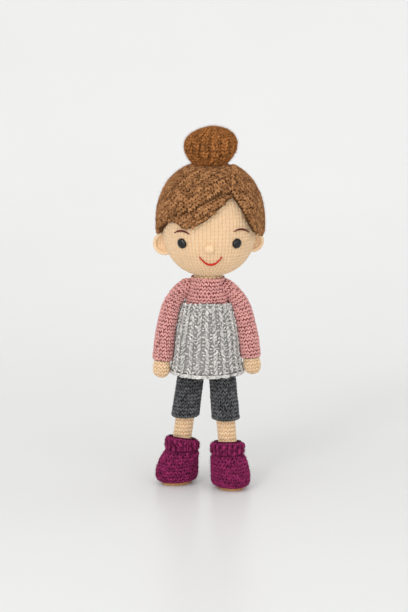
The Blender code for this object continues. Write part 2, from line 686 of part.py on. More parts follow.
def on_head(x, drop, lift):
    """Point of the face at a sideways place and a drop below the head's centre, and its normal."""
    lower, upper = HEAD_LOWER + lift, HEAD_UPPER + lift
    height = abs(drop) / (lower if drop > 0 else upper)
    size = (1 - height**HEAD_POWER) ** (1 / HEAD_POWER)
    wide, deep = (HEAD_HALF_WIDTH + lift) * size, (HEAD_HALF_DEPTH + lift) * size
    y = -deep * math.sqrt(1 - (x / wide) ** 2)
    level = size ** (HEAD_POWER - 2)
    rise = -math.copysign(height ** (HEAD_POWER - 1) / (lower if drop > 0 else upper), drop)
    lean_x = level * x / (HEAD_HALF_WIDTH + lift) ** 2
    lean_y = level * y / (HEAD_HALF_DEPTH + lift) ** 2
    normal = Vector((lean_x, lean_y, rise))
    return HEAD_CENTRE + Vector((x, y, -drop)), normal.normalized()


def head_outline(less, first_radius, count):
    """Outline (height, radius) from a hole at the bottom to the crown, smaller by a wall."""
    wide = HEAD_HALF_WIDTH - less
    start = -math.acos(min((first_radius / wide) ** (HEAD_POWER / 2), 1))
    points = []
    for k in range(count):
        angle = start + (math.pi / 2 - start) * k / (count - 1)
        rise = math.copysign(abs(math.sin(angle)) ** (2 / HEAD_POWER), angle)
        tall = (HEAD_UPPER if rise > 0 else HEAD_LOWER) - less
        points.append((HEAD_Z + tall * rise, wide * abs(math.cos(angle)) ** (2 / HEAD_POWER)))
    points[-1] = (points[-1][0], 0)
    return points


def head_place(station, radius, angle, _weight):
    depth = HEAD_HALF_DEPTH / HEAD_HALF_WIDTH
    return Vector((HEAD_X + radius * math.cos(angle), radius * depth * math.sin(angle), station))


def make_head():
    outer = head_outline(0, NECK_HOLE_RADIUS, 13)
    inner = head_outline(HEAD_WALL, NECK_HOLE_RADIUS, 10)
    shape = weighted(outer[::-1], 1) + weighted(inner, 0)
    cover = turned("head_cover", shape, 26, head_place, "skin_yarn")

    hollow = head_outline(HEAD_WALL + 3 * GAP, NECK_HOLE_RADIUS, 10)
    floor_z = COLLAR_Z + NECK_SHOWN + NECK_RISE + NECK_RISE
    hollow = [p for p in hollow if p[0] > floor_z + GAP]
    shelf = hollow[0][1] * math.sqrt(0.5)
    stuffing = turned("head_stuffing", plug([(floor_z, shelf)] + hollow), 18, head_place, "stuffing")

    for side, sign in (("left", 1), ("right", -1)):
        seat, normal = on_head(sign * EYE_SPREAD, EYE_DROP, GAP)
        place = about(seat, normal)
        hole = rod(EYE_SHANK_RADIUS + GAP, -HEAD_WALL - OVERRUN, OVERRUN)
        cut(cover, cutter(f"{side}_eye_hole", hole, 12, place))
        pocket = rod(WASHER_RADIUS + GAP, -EYE_SHANK_LENGTH - GAP, OVERRUN)
        cut(stuffing, cutter(f"{side}_eye_pocket", pocket, 16, place))

        dome = [(EYE_DOME * h, EYE_RADIUS * r) for h, r in EYE_SHARES]
        shank = [(-EYE_SHANK_LENGTH, EYE_SHANK_RADIUS), (0, EYE_SHANK_RADIUS)]
        turned(f"{side}_eye", plug(shank + dome), 16, place, "black_eye")

        deep = -HEAD_WALL - 2 * GAP - WASHER_GRIP
        bore = EYE_SHANK_RADIUS + GAP
        ring = [(deep, bore), (deep, WASHER_RADIUS),
                (deep - WASHER_THICK, WASHER_RADIUS), (deep - WASHER_THICK, bore)]
        turned(f"{side}_eye_washer", weighted(ring, 0), 16, place, "washer_plastic", True)


def add_thread(name, points, finish_name):
    """Embroidery thread lying along the face, as a round curve with closed ends."""
    curve = bpy.data.curves.new(name, "CURVE")
    curve.dimensions = "3D"
    curve.bevel_depth = THREAD_LINE_RADIUS
    curve.bevel_resolution = 1
    curve.use_fill_caps = True
    spline = curve.splines.new("POLY")
    spline.points.add(len(points) - 1)
    for slot, point in zip(spline.points, points):
        slot.co = (*point, 1)
    curve.materials.append(finish(finish_name))
    obj = bpy.data.objects.new(name, curve)
    bpy.context.scene.collection.objects.link(obj)
    return obj


def make_face():
    lift = GAP + THREAD_LINE_RADIUS
    steps = [-1 + 2 * k / 10 for k in range(11)]
    smile = [on_head(MOUTH_SHIFT + MOUTH_HALF_WIDTH * t, MOUTH_DROP + MOUTH_SAG * (1 - t * t), lift)[0]
             for t in steps]
    add_thread("mouth", smile, "mouth_thread")
    steps = [-1 + 2 * k / 6 for k in range(7)]
    for side, sign, drop in (("left", 1, LEFT_BROW_DROP), ("right", -1, RIGHT_BROW_DROP)):
        middle = BROW_SHIFT + sign * BROW_SPREAD
        arch = [on_head(middle + BROW_HALF_WIDTH * t, drop - BROW_ARCH * (1 - t * t), lift)[0] for t in steps]
        add_thread(f"{side}_eyebrow", arch, "brow_thread")

    seat, normal = on_head(0, NOSE_DROP, GAP)
    bump = [(NOSE_RELIEF * h, NOSE_HALF_HEIGHT * r) for h, r in NOSE_SHARES]
    turned("nose", plug(bump), 14, about(seat, normal, NOSE_HALF_WIDTH / NOSE_HALF_HEIGHT), "skin_yarn")


def make_ears():
    grown = weighted(head_outline(-GAP, 0, 16), 0)
    grown[0] = (grown[0][0], 0, 0)
    tool = cutter("head_for_ears", grown, 32, head_place)
    for side, sign, (radius, tuck, drop) in (("left", 1, LEFT_EAR), ("right", -1, RIGHT_EAR)):
        seat = HEAD_CENTRE + Vector((sign * (HEAD_HALF_WIDTH - tuck), EAR_DEPTH / 2, -drop))
        bowl = [(EAR_DEPTH * h, radius * r) for h, r in EAR_SHARES]
        place = about(seat, (sign * 0.15, -1, 0))
        ear = turned(f"{side}_ear", cup(bowl, EAR_WALL, 1), 20, place, "skin_yarn")
        cut(ear, tool)


# Hair


def hair_shares(azimuth, height):
    """Direction on the hair at an azimuth in degrees and a height share over the chin."""
    z = -HEAD_LOWER + (HAIR_UPPER + HEAD_LOWER) * height
    tall = HAIR_UPPER if z > 0 else HAIR_LOWER
    size = (1 - min(abs(z) / tall, 1) ** HAIR_POWER) ** (1 / HAIR_POWER)
    turn = math.radians(azimuth)
    return Vector((HAIR_HALF_WIDTH * size * math.sin(turn), -HAIR_HALF_DEPTH * size * math.cos(turn), z))


def hair_slope(height):
    """Even parameter along the hair's profile, from 0 at the crown."""
    z = -HEAD_LOWER + (HAIR_UPPER + HEAD_LOWER) * height
    tall = HAIR_UPPER if z > 0 else HAIR_LOWER
    return math.acos(math.copysign(min(abs(z) / tall, 1) ** (HAIR_POWER / 2), z))


def hair_height(slope):
    rise = math.copysign(abs(math.cos(slope)) ** (2 / HAIR_POWER), math.cos(slope))
    z = rise * (HAIR_UPPER if rise > 0 else HAIR_LOWER)
    return (z + HEAD_LOWER) / (HAIR_UPPER + HEAD_LOWER)


def hair_points(azimuth, top, hem, rows, inner_lift, outer_drop):
    """Outer and inner points down one column of hair."""
    outer, inner = [], []
    start, end = hair_slope(top), hair_slope(hem)
    for k in range(rows + 1):
        slope = start + (end - start) * k / rows
        arm = hair_shares(azimuth, hair_height(slope))
        unit = arm.normalized()
        outer.append(HEAD_CENTRE + unit * (arm.length - outer_drop(k / rows)))
        near = reach(unit, HEAD_HALF_WIDTH, HEAD_HALF_DEPTH, HEAD_UPPER, HEAD_LOWER, HEAD_POWER)
        inner.append(HEAD_CENTRE + unit * (near + inner_lift))
    return outer, inner


def make_cap():
    azimuths = sorted([*range(-170, 181, 14), -102, -70, -62, FRINGE_END, PANEL_START, *range(36, 54, 6)])
    under = GAP / (HAIR_UPPER + HEAD_LOWER)
    rows = 9
    points, columns = [], []
    crown = HEAD_CENTRE + Vector((0, 0, HAIR_UPPER))
    inner_crown = HEAD_CENTRE + Vector((0, 0, HEAD_UPPER + HAIR_LIFT))
    points += [crown, inner_crown]
    for azimuth in azimuths:
        hem = table(CAP_HEM_SHARES, azimuth)
        if FRINGE_START <= azimuth <= PANEL_START:
            hem += under
        outer, inner = hair_points(azimuth, 1, hem, rows, HAIR_LIFT, lambda _share: 0)
        columns.append(list(range(len(points), len(points) + 2 * rows)))
        points += outer[1:] + inner[1:][::-1]
    faces = []
    for a, b in zip(columns, columns[1:] + columns[:1]):
        faces.append((0, a[0], b[0]))
        faces.append((1, b[-1], a[-1]))
        faces += [(a[k], a[k + 1], b[k + 1], b[k]) for k in range(2 * rows - 1)]
    add_mesh("hair_cap", points, faces, "hair_yarn")


def hair_patch(name, azimuths, top, hem, rows, inner_lift, outer_drop):
    """A thick patch of hair between two edges, over a run of azimuths."""
    points, columns = [], []
    for azimuth in azimuths:
        lift = inner_lift
        outer, inner = hair_points(azimuth, top(azimuth), hem(azimuth), rows, 0, outer_drop)
        if callable(lift):
            inner = [lift(p, q) for p, q in zip(outer, inner)]
        else:
            inner = [q + (q - HEAD_CENTRE).normalized() * lift for q in inner]
        columns.append(list(range(len(points), len(points) + 2 * rows + 2)))
        points += outer + inner[::-1]
    count = 2 * rows + 2
    faces = [(a[k], a[(k + 1) % count], b[(k + 1) % count], b[k])
             for a, b in zip(columns, columns[1:]) for k in range(count)]
    for column in (columns[0], columns[-1]):
        faces += [(column[k], column[k + 1], column[count - 2 - k], column[count - 1 - k])
                  for k in range(rows)]
    add_mesh(name, points, faces, "hair_yarn")


def make_hair():
    make_cap()
    under = 2 * GAP / (HAIR_UPPER + HEAD_LOWER)
    count = 14
    fringe = [FRINGE_START + (FRINGE_END - FRINGE_START) * k / count for k in range(count + 1)]
    hair_patch("hair_fringe", fringe, lambda a: table(CAP_HEM_SHARES, a) - under,
               lambda a: table(FRINGE_HEM_SHARES, a), 2, HAIR_LIFT, lambda _share: FRINGE_STEP)
    count = 16
    panel = [PANEL_START + (PANEL_END - PANEL_START) * k / count for k in range(count + 1)]
    least = 2 * PANEL_THICK / (HAIR_UPPER + HEAD_LOWER)

    def part(azimuth):
        """Height share of the parting, an upright line in the front view, over an azimuth."""
        size = min(PART_SHIFT / (HAIR_HALF_WIDTH * math.sin(math.radians(azimuth))), 1)
        rise = HAIR_UPPER * (1 - size**HAIR_POWER) ** (1 / HAIR_POWER)
        height = (HEAD_LOWER + rise) / (HAIR_UPPER + HEAD_LOWER)
        return max(min(height, PANEL_TOP_SHARE), table(PANEL_HEM_SHARES, azimuth) + least)

    def on_cap(outer, _inner):
        return outer - (outer - HEAD_CENTRE).normalized() * PANEL_THICK

    hair_patch("hair_side_panel", panel, part, lambda a: table(PANEL_HEM_SHARES, a), 8, on_cap,
               lambda _share: -PANEL_THICK - 1.5 * GAP)


def crown_height(radius):
    """Height of the hair at a distance from its crown."""
    return HEAD_Z + HAIR_UPPER * (1 - (radius / HAIR_HALF_WIDTH) ** HAIR_POWER) ** (1 / HAIR_POWER)


def make_bun():
    base = BUN_BASE_RADIUS
    start = crown_height(base) + GAP
    outer = shares_outline(BUN_SHARES, start, BUN_HEIGHT, BUN_HALF_WIDTH, 10)
    outer[-1] = (outer[-1][0], 0)

    def leaning(z):
        return HEAD_X + BUN_LEAN * max(z - start, 0) / BUN_HEIGHT, 0

    place = upright(leaning, lambda _z: 1, BUN_FOLDS, BUN_FOLD_DEPTH)
    folds = [(z, r, min(r / BUN_HALF_WIDTH, 1)) for z, r in outer]
    folds[0] = (outer[0][0], outer[0][1], 0)
    lining = inset(outer[::-1], BUN_WALL)
    rim = lining[-1][1]
    lining = [p for p in lining[:-1] if p[0] > HAIR_TOP_Z] + [(crown_height(rim) + GAP, rim)]
    shape = folds[::-1] + weighted(thinned(lining, 1)[::-1], 0)
    turned("hair_bun", shape, 2 * BUN_FOLDS, place, "bun_yarn")

    fill = inset(outer[::-1], BUN_WALL + BUN_FOLD_DEPTH + GAP)
    top_of_hair = HAIR_TOP_Z + GAP
    fill = [p for p in fill if p[0] > top_of_hair + GAP]
    fill.append((top_of_hair, fill[-1][1] - BUN_WALL))
    turned("bun_stuffing", plug(fill), 16, upright(leaning), "stuffing")


def main():
    for obj in list(bpy.data.objects):
        bpy.data.objects.remove(obj, do_unlink=True)
    for side, foot in (("left", LEFT_FOOT), ("right", RIGHT_FOOT)):
        make_leg(side, foot)
        make_foot(side, foot)
    make_torso()
    make_neck()
    make_skirt()
    make_arm("left", 1)
    make_arm("right", -1)
    make_head()
    make_face()
    make_ears()
    make_hair()
    make_bun()


main()
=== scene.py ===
"""A crocheted doll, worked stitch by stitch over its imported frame."""

import math

import bpy
import numpy as np
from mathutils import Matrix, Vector


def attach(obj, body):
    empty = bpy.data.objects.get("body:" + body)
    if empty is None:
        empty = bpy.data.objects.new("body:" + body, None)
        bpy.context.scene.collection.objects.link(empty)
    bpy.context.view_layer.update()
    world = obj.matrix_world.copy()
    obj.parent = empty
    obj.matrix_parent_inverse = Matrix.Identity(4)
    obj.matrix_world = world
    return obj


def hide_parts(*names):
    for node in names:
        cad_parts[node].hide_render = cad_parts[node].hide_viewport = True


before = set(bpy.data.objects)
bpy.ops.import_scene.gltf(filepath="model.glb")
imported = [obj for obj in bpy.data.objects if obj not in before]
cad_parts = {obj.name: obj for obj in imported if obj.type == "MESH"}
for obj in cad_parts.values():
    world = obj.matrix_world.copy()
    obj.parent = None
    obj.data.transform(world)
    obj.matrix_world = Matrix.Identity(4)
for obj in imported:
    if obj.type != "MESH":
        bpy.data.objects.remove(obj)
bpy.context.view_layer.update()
MM = 0.001
TURN = 2 * math.pi
GAP = 0.3 * MM

# Sizes of the doll, as in its solid model
BODY_X, HEAD_X = -0.8 * MM, 0.7 * MM
NECK_X = (BODY_X + HEAD_X) / 2
SOLE_THICK, SOLE_HALF_WIDTH, SOLE_STRETCH = 2.0 * MM, 8.3 * MM, 1.3
BOOT_HEIGHT, BOOT_HALF_WIDTH, BOOT_TOE = 27.9 * MM, 12.3 * MM, 4.6 * MM
CUFF_HEIGHT, CUFF_WALL, CUFF_RIBS = 8.9 * MM, 1.9 * MM, 18
FEET = {"left": (12.8 * MM, -7.8 * MM, 25), "right": (-17.4 * MM, 3.8 * MM, -50)}
SIGNS = {"left": 1, "right": -1}
LEG_LENGTH, LEG_RADIUS, HIP_SPREAD = 84.4 * MM, 7.0 * MM, 9.3 * MM
TROUSER_LENGTH, TROUSER_RADIUS = 38.8 * MM, 9.05 * MM
SEAT_HEIGHT, SEAT_HALF_WIDTH = 14.8 * MM, 18.2 * MM
TORSO_HEIGHT, TORSO_HALF_WIDTH = 40.7 * MM, 16.2 * MM
NECK_SHOWN, NECK_RADIUS, NECK_TUCK, NECK_RISE = 0.8 * MM, 9.2 * MM, 2.4 * MM, 3.4 * MM
SKIRT_LENGTH, SKIRT_TOP_DROP, SKIRT_HALF_WIDTH = 48.6 * MM, 16.0 * MM, 24.0 * MM
SKIRT_RIBS, HEM_HEIGHT, SKIRT_DIP = 24, 1.9 * MM, 1.7 * MM
SHOULDER_SPREAD, SHOULDER_DROP, SHOULDER_RADIUS = 14.5 * MM, 7.2 * MM, 5.0 * MM
ARM_BOW, ARM_RADIUS, HAND_RADIUS = 61.2 * MM, 6.6 * MM, 5.6 * MM
ARM_DROPS = {1: 58.2 * MM, -1: 60.7 * MM}
SHOULDER_REACH = {1: 1.36, -1: 1.18}
BROW_SLOPES = {"left": 0.8 * MM, "right": 0.1 * MM}
CUFF_TILTS = {"left": (0.0, 0.15), "right": (0.14, 0.15)}
CUFF_SINK = 1.7 * MM
SLEEVE_SHIFTS = {1: 2.3 * MM, -1: 0.5 * MM}
SLEEVE_SWELL = 0.75 * MM
HEAD_HALF_WIDTH, HEAD_HALF_DEPTH, HEAD_UPPER, HEAD_LOWER = 31 * MM, 29 * MM, 34.5 * MM, 35 * MM
HEAD_POWER, NECK_HOLE_RADIUS = 2.3, 10.8 * MM
EYE_SPREAD, EYE_DROP, EYE_RADIUS, EYE_DOME = 17.7 * MM, 10.1 * MM, 3.2 * MM, 2.2 * MM
EYE_SHANK_RADIUS, EYE_SHANK_LENGTH = 1.2 * MM, 6.0 * MM
NOSE_HALF_WIDTH, NOSE_HALF_HEIGHT, NOSE_DROP, NOSE_RELIEF = 3.0 * MM, 2.6 * MM, 13.0 * MM, 2.2 * MM
MOUTH_HALF_WIDTH, MOUTH_DROP, MOUTH_SAG, MOUTH_SHIFT = 7.3 * MM, 18.6 * MM, 5.6 * MM, 0.9 * MM
BROW_HALF_WIDTH, BROW_SPREAD, BROW_SHIFT, BROW_ARCH = 4.8 * MM, 19.3 * MM, 1.5 * MM, 1.9 * MM
BROW_DROPS = {"left": 2.8 * MM, "right": 3.6 * MM}
EARS = {"left": (7.0 * MM, 2.9 * MM, 12.2 * MM), "right": (7.4 * MM, 2.1 * MM, 13.8 * MM)}
EAR_DEPTH, EAR_WALL = 4.6 * MM, 1.7 * MM
HAIR_HALF_WIDTH, HAIR_HALF_DEPTH, HAIR_UPPER, HAIR_LOWER = 34.9 * MM, 33.9 * MM, 39.9 * MM, 46 * MM
HAIR_POWER, FRINGE_STEP, PANEL_THICK, PART_SHIFT = 2.2, 0.9 * MM, 1.3 * MM, 14.6 * MM
BUN_BASE_RADIUS, BUN_HALF_WIDTH, BUN_HEIGHT = 10.9 * MM, 17.6 * MM, 25.8 * MM
BUN_FOLDS, BUN_FOLD_DEPTH, BUN_LEAN = 16, 1.1 * MM, 1.7 * MM

# Levels that follow
BOOT_Z = SOLE_THICK + GAP
BOOT_TOP_Z = BOOT_Z + BOOT_HEIGHT
CUFF_Z = BOOT_TOP_Z + CUFF_WALL / 2 - CUFF_HEIGHT
ANKLE_Z = BOOT_Z + 15.0 * MM
HIP_Z = LEG_LENGTH
TROUSER_Z = HIP_Z - TROUSER_LENGTH
SEAT_Z = HIP_Z + GAP
TORSO_Z = SEAT_Z + SEAT_HEIGHT + GAP
COLLAR_Z = TORSO_Z + TORSO_HEIGHT
SKIRT_TOP_Z = COLLAR_Z - SKIRT_TOP_DROP
SKIRT_Z = SKIRT_TOP_Z - SKIRT_LENGTH + HEM_HEIGHT + GAP
HEM_Z = SKIRT_Z - GAP - HEM_HEIGHT
SHOULDER_Z = COLLAR_Z - SHOULDER_DROP
HEAD_Z = COLLAR_Z + NECK_SHOWN + HEAD_LOWER
CENTRE = np.array([HEAD_X, 0, HEAD_Z])
HEAD_EGG = HEAD_HALF_WIDTH, HEAD_HALF_DEPTH, HEAD_UPPER, HEAD_LOWER, HEAD_POWER
HAIR_EGG = HAIR_HALF_WIDTH, HAIR_HALF_DEPTH, HAIR_UPPER, HAIR_LOWER, HAIR_POWER
HAIR_RISE = HAIR_UPPER + HEAD_LOWER

# Outlines, as shares of the sizes that they follow
TORSO_SHARES = ((0, 1), (0.24, 0.957), (0.45, 0.89), (0.605, 0.81), (0.645, 0.855), (0.69, 0.78),
                (0.75, 0.73), (0.83, 0.705), (0.94, 0.7), (1, 0.65))
TORSO_DEPTH_SHARES = ((0, 0.72), (0.4, 0.86), (0.8, 0.92), (1, 1))
SKIRT_SHARES = ((0, 1), (0.06, 0.975), (0.18, 0.93), (0.28, 0.905), (0.5, 0.868), (0.62, 0.832),
                (0.74, 0.79), (0.83, 0.745), (0.91, 0.69), (1, 0.635))
SKIRT_DEPTH_SHARES = ((0, 0.9), (0.5, 0.9), (1, 0.91))
SEAT_SHARES = ((0, 0.84), (0.1, 0.96), (0.45, 1), (1, 0.9))
SEAT_DEPTH_SHARES = ((0, 0.6), (0.5, 0.64), (1, 0.715))
LEG_SHARES = ((0, 0.83), (0.18, 0.84), (0.42, 0.88), (0.62, 0.97), (1, 1))
TROUSER_SHARES = ((0, 1.01), (0.3, 0.98), (0.7, 0.96), (1, 0.985))
BOOT_SHARES = ((0, 0.84), (0.04, 0.94), (0.12, 1), (0.3, 1), (0.5, 0.975), (0.62, 0.94),
               (0.67, 0.85), (0.71, 0.7), (1, 0.7))
BOOT_STRETCH_SHARES = ((0, 1.2), (0.2, 1.22), (0.4, 1.15), (0.6, 1.04), (0.7, 1), (1, 1))
BOOT_SHIFT_SHARES = ((0, 1), (0.2, 1), (0.45, 0.72), (0.68, 0.1), (0.75, 0), (1, 0))
ARM_PATH_SHARES = ((0, 0, 0), (0.046, 0, -0.038), (0.099, 0, -0.104), (0.137, -0.002, -0.17),
                   (0.163, -0.006, -0.237), (0.194, -0.014, -0.369), (0.222, -0.022, -0.547),
                   (0.239, -0.027, -0.73), (0.249, -0.03, -0.82), (0.262, -0.035, -1))
SLEEVE_SHARES = ((0, 0.758), (0.08, 0.74), (0.16, 0.745), (0.28, 0.79), (0.41, 0.86), (0.55, 0.95),
                 (0.66, 1), (0.74, 0.99), (0.79, 0.97), (0.815, 0.93))
HAND_SHARES = ((0, 0.9), (0.2, 0.97), (0.45, 1), (0.7, 0.93), (0.86, 0.72), (0.96, 0.38), (1, 0))
BUN_SHARES = ((0, 0.63), (0.1, 0.75), (0.25, 0.91), (0.4, 0.99), (0.53, 0.995), (0.69, 0.9), (0.84, 0.68),
              (0.93, 0.4), (1, 0))
EYE_SHARES = ((0, 1), (0.35, 0.95), (0.7, 0.72), (0.92, 0.4), (1, 0))
NOSE_SHARES = ((0, 1), (0.45, 0.88), (0.8, 0.58), (1, 0))
EAR_SHARES = ((0, 0), (0.05, 0.45), (0.3, 0.83), (0.7, 0.98), (1, 1))
CAP_HEM_SHARES = ((-180, 0.142), (-122, 0.147), (-110, 0.264), (-102, 0.36), (-92, 0.377),
                  (-78, 0.381), (-70, 0.426), (-62, 0.507), (-29, 0.609), (-12, 0.67), (26, 0.775),
                  (30, 0.775), (34, 0.725), (38, 0.68), (44, 0.602), (50.6, 0.5), (56, 0.455), (65, 0.42),
                  (80, 0.392), (95, 0.392), (102, 0.391), (110, 0.264), (122, 0.147), (180, 0.142))
FRINGE_HEM_SHARES = ((-66, 0.441), (-55, 0.502), (-44, 0.517), (-35, 0.482), (-27, 0.462),
                     (-15, 0.497), (-5, 0.538), (10, 0.639), (20, 0.697), (26, 0.732), (30, 0.74))
PANEL_HEM_SHARES = ((27, 0.735), (29.5, 0.735), (34, 0.7), (38, 0.652), (44, 0.568), (50.6, 0.452),
                    (56, 0.41), (65, 0.395), (80, 0.378), (95, 0.378), (104, 0.384))
PANEL_TOP_SHARE = 0.972
FRINGE_START, FRINGE_END = -66, 29
PANEL_START, PANEL_END = 30, 103

# Colours and build of the yarns
SKIN = (0.90, 0.66, 0.425)
HAIR = (0.335, 0.152, 0.058)
BUN = (0.325, 0.125, 0.034)
ROSE = (0.80, 0.395, 0.37)
GREY = (0.72, 0.70, 0.67)
CHARCOAL = (0.095, 0.096, 0.1)
PLUM = (0.255, 0.02, 0.098)
PLY_TWIST, PLIES = 0.55, 3.0
FILLING_ROOM = 0.12 * MM

# Places of the materials in a knitted piece: its stitches, the cloth under them and its loose fibres
STITCHES, CLOTH, FIBRES = range(3)


def table(shares, at):
    """Smooth values of a table of shares, by monotone cubics through its points."""
    xs, ys = np.array(shares, float).T
    at = np.clip(np.asarray(at, float), xs[0], xs[-1])
    step = np.diff(xs)
    rise = np.diff(ys) / step
    both = rise[:-1] * rise[1:] > 0
    inner = np.where(both, rise[:-1] + rise[1:], 1)
    inner = np.where(both, 2 * rise[:-1] * rise[1:] / inner, 0)
    slope = np.concatenate((rise[:1], inner, rise[-1:]))
    k = np.clip(np.searchsorted(xs, at, side="right") - 1, 0, len(xs) - 2)
    t, w = (at - xs[k]) / step[k], step[k]
    return ((2 * t**3 - 3 * t**2 + 1) * ys[k] + (t**3 - 2 * t**2 + t) * w * slope[k]
            + (3 * t**2 - 2 * t**3) * ys[k + 1] + (t**3 - t**2) * w * slope[k + 1])


def unit(v):
    return v / np.maximum(np.linalg.norm(v, axis=-1, keepdims=True), 1e-12)


def stack(x, y, z):
    return np.stack(np.broadcast_arrays(x, y, z), axis=-1).astype(float)


def turn_shares(many):
    return np.arange(many) / many


def lengths_along(points):
    """Length from the start of a line, or of each of several, to each of its points."""
    steps = np.linalg.norm(np.diff(points, axis=-2), axis=-1)
    return np.concatenate((np.zeros_like(steps[..., :1]), np.cumsum(steps, axis=-1)), axis=-1)


class Surface:
    """A skin of rings along an outline of stations and radii. On it, u is the share of the turn
    round the piece, v the length along the outline and n the height over the skin."""

    def __init__(self, outline, place):
        self.station, self.radius = np.array(outline, float).T
        self.place = place
        steps = np.hypot(np.diff(self.station), np.diff(self.radius))
        self.lengths = np.concatenate(([0], np.cumsum(steps)))
        self.length = self.lengths[-1]

    def size(self, v):
        return np.interp(v, self.lengths, self.station), np.interp(v, self.lengths, self.radius)

    def raw(self, u, v):
        return self.place(*self.size(v), TURN * u)

    def out(self, u, v):
        station, radius = self.size(v)
        return self.place(station, radius + 0.1 * MM, TURN * u) - self.raw(u, v)

    def normal(self, u, v):
        e = 0.15 * MM
        round_it = self.raw(u + 2e-3, v) - self.raw(u - 2e-3, v)
        along = self.raw(u, v + e) - self.raw(u, v - e)
        normal = unit(np.cross(round_it, along))
        facing = np.sum(normal * self.out(u, v), axis=-1, keepdims=True)
        return normal * np.where(facing < 0, -1, 1)

    def at(self, u, v, n):
        u, v, n = np.broadcast_arrays(u, v, n)
        return self.raw(u, v) + self.normal(u, v) * n[..., None]

    def girth(self, v):
        ring = self.raw(turn_shares(48), np.full(48, float(v)))
        return float(np.linalg.norm(ring - np.roll(ring, 1, axis=0), axis=1).sum())


def outline_of(shares, start, length, radius, count=80, span=None):
    """Points (station, radius) along a table of shares, or along a span of it."""
    t = np.linspace(*(span or (shares[0][0], shares[-1][0])), count)
    return np.stack((start + length * t, radius * table(shares, t)), axis=1)


# Places of a station, a radius and an angle round the middle line of each part of the doll


def upright(centre, depth=lambda z: 1.0):
    def place(station, radius, angle):
        x, y = centre(station)
        return stack(x + radius * np.cos(angle), y + radius * depth(station) * np.sin(angle), station)

    return place


def oval(centre, shares, start, height):
    """Upright rings with depths that follow a table of shares."""
    return upright(centre, lambda z: table(shares, (z - start) / height))


def body_axis(z):
    return np.full_like(np.asarray(z, float), BODY_X), 0.0


def neck_axis(z):
    return np.full_like(np.asarray(z, float), NECK_X), 0.0


def torso_axis(z):
    t = np.clip((np.asarray(z, float) - SHOULDER_Z) / (COLLAR_Z - SHOULDER_Z), 0, 1)
    return BODY_X + (NECK_X - BODY_X) * t, 0.0


def leg_axis(side):
    x, y, _yaw = FEET[side]
    hip_x = BODY_X + math.copysign(HIP_SPREAD, x)

    def centre(z):
        t = np.clip((HIP_Z - np.asarray(z, float)) / (HIP_Z - BOOT_TOP_Z), 0, 1)
        return hip_x + (x - hip_x) * t, y * t

    return centre


def foot_place(side, shape):
    """Rings round a foot. shape(station) gives their stretch and their shift towards the toes."""
    x, y, yaw = FEET[side]
    toe_x, toe_y = math.sin(math.radians(yaw)), -math.cos(math.radians(yaw))

    def place(station, radius, angle):
        stretch, shift = shape(station)
        reach, aside = shift + radius * stretch * np.cos(angle), radius * np.sin(angle)
        return stack(x + toe_x * reach - toe_y * aside, y + toe_y * reach + toe_x * aside, station)

    return place


def boot_shape(station):
    share = (station - BOOT_Z) / BOOT_HEIGHT
    return table(BOOT_STRETCH_SHARES, share), BOOT_TOE * table(BOOT_SHIFT_SHARES, share)


def cuff_place(side):
    """A boot's places, with the top of the cuff higher in front and at its outer side."""
    place = foot_place(side, boot_shape)
    roll, pitch = CUFF_TILTS[side]
    x, y = place(CUFF_Z + CUFF_HEIGHT, 0, 0)[:2]

    def tilted(station, radius, angle):
        points = place(station, radius, angle)
        share = np.clip((np.asarray(station) - CUFF_Z) / CUFF_HEIGHT, 0, 1)
        rise = share * (roll * (x - points[..., 0]) + pitch * (y - points[..., 1]) - CUFF_SINK)
        return points + stack(0, 0, rise)

    return tilted


def head_place(station, radius, angle):
    depth = HEAD_HALF_DEPTH / HEAD_HALF_WIDTH
    return stack(HEAD_X + radius * np.cos(angle), radius * depth * np.sin(angle), station)


def about(origin, axis, stretch=1.0):
    """Rings round any axis, wider sideways by a factor."""
    axis = Vector(axis).normalized()
    side = axis.cross(Vector((0, 0, 1))).normalized()
    up = np.array(side.cross(axis))
    side, axis, origin = np.array(side), np.array(axis), np.array(origin)

    def place(station, radius, angle):
        station, radius, angle = np.broadcast_arrays(station, radius, angle)
        return (origin + axis * station[..., None] + side * (radius * stretch * np.cos(angle))[..., None]
                + up * (radius * np.sin(angle))[..., None])

    return place


def arm_points(sign):
    """Points of an arm's middle line, from the shoulder to the fingertips."""
    shoulder = np.array([BODY_X + sign * SHOULDER_SPREAD, 0, SHOULDER_Z])
    return shoulder + np.array(ARM_PATH_SHARES) * (sign * ARM_BOW, ARM_BOW, ARM_DROPS[sign])


def arm_shift(sign, share):
    """How far the sleeve sits inwards of the arm, most at the shoulder."""
    return -sign * SLEEVE_SHIFTS[sign] * (1 - np.clip(share, 0, 1))


def arm_place(sign):
    """Rings along a smooth curve through an arm's points, and the curve's length."""
    points = arm_points(sign)
    line = [points[0]]
    for k in range(len(points) - 1):
        before, start, end, after = points[np.clip((k - 1, k, k + 1, k + 2), 0, len(points) - 1)]
        for t in np.arange(1, 13) / 12:
            line.append(0.5 * (2 * start + (end - before) * t
                               + (2 * before - 5 * start + 4 * end - after) * t**2
                               + (3 * start - before - 3 * end + after) * t**3))
    line = np.array(line)
    lengths = lengths_along(line)
    heads = unit(np.gradient(line, axis=0))

    def place(station, radius, angle):
        station = np.asarray(station, float)
        point, head = (np.stack([np.interp(station, lengths, column) for column in values.T], axis=-1)
                       for values in (line, heads))
        head = unit(head)
        point = point + head * (np.minimum(station, 0) + np.maximum(station - lengths[-1], 0))[..., None]
        point = point + stack(arm_shift(sign, station / lengths[-1]), 0, 0)
        across = unit(np.cross(head, np.array([0.0, 1.0, 0.0])))
        front = np.cross(across, head)
        return (point + across * (radius * np.cos(angle))[..., None]
                + front * (radius * np.sin(angle))[..., None])

    return place, lengths[-1]


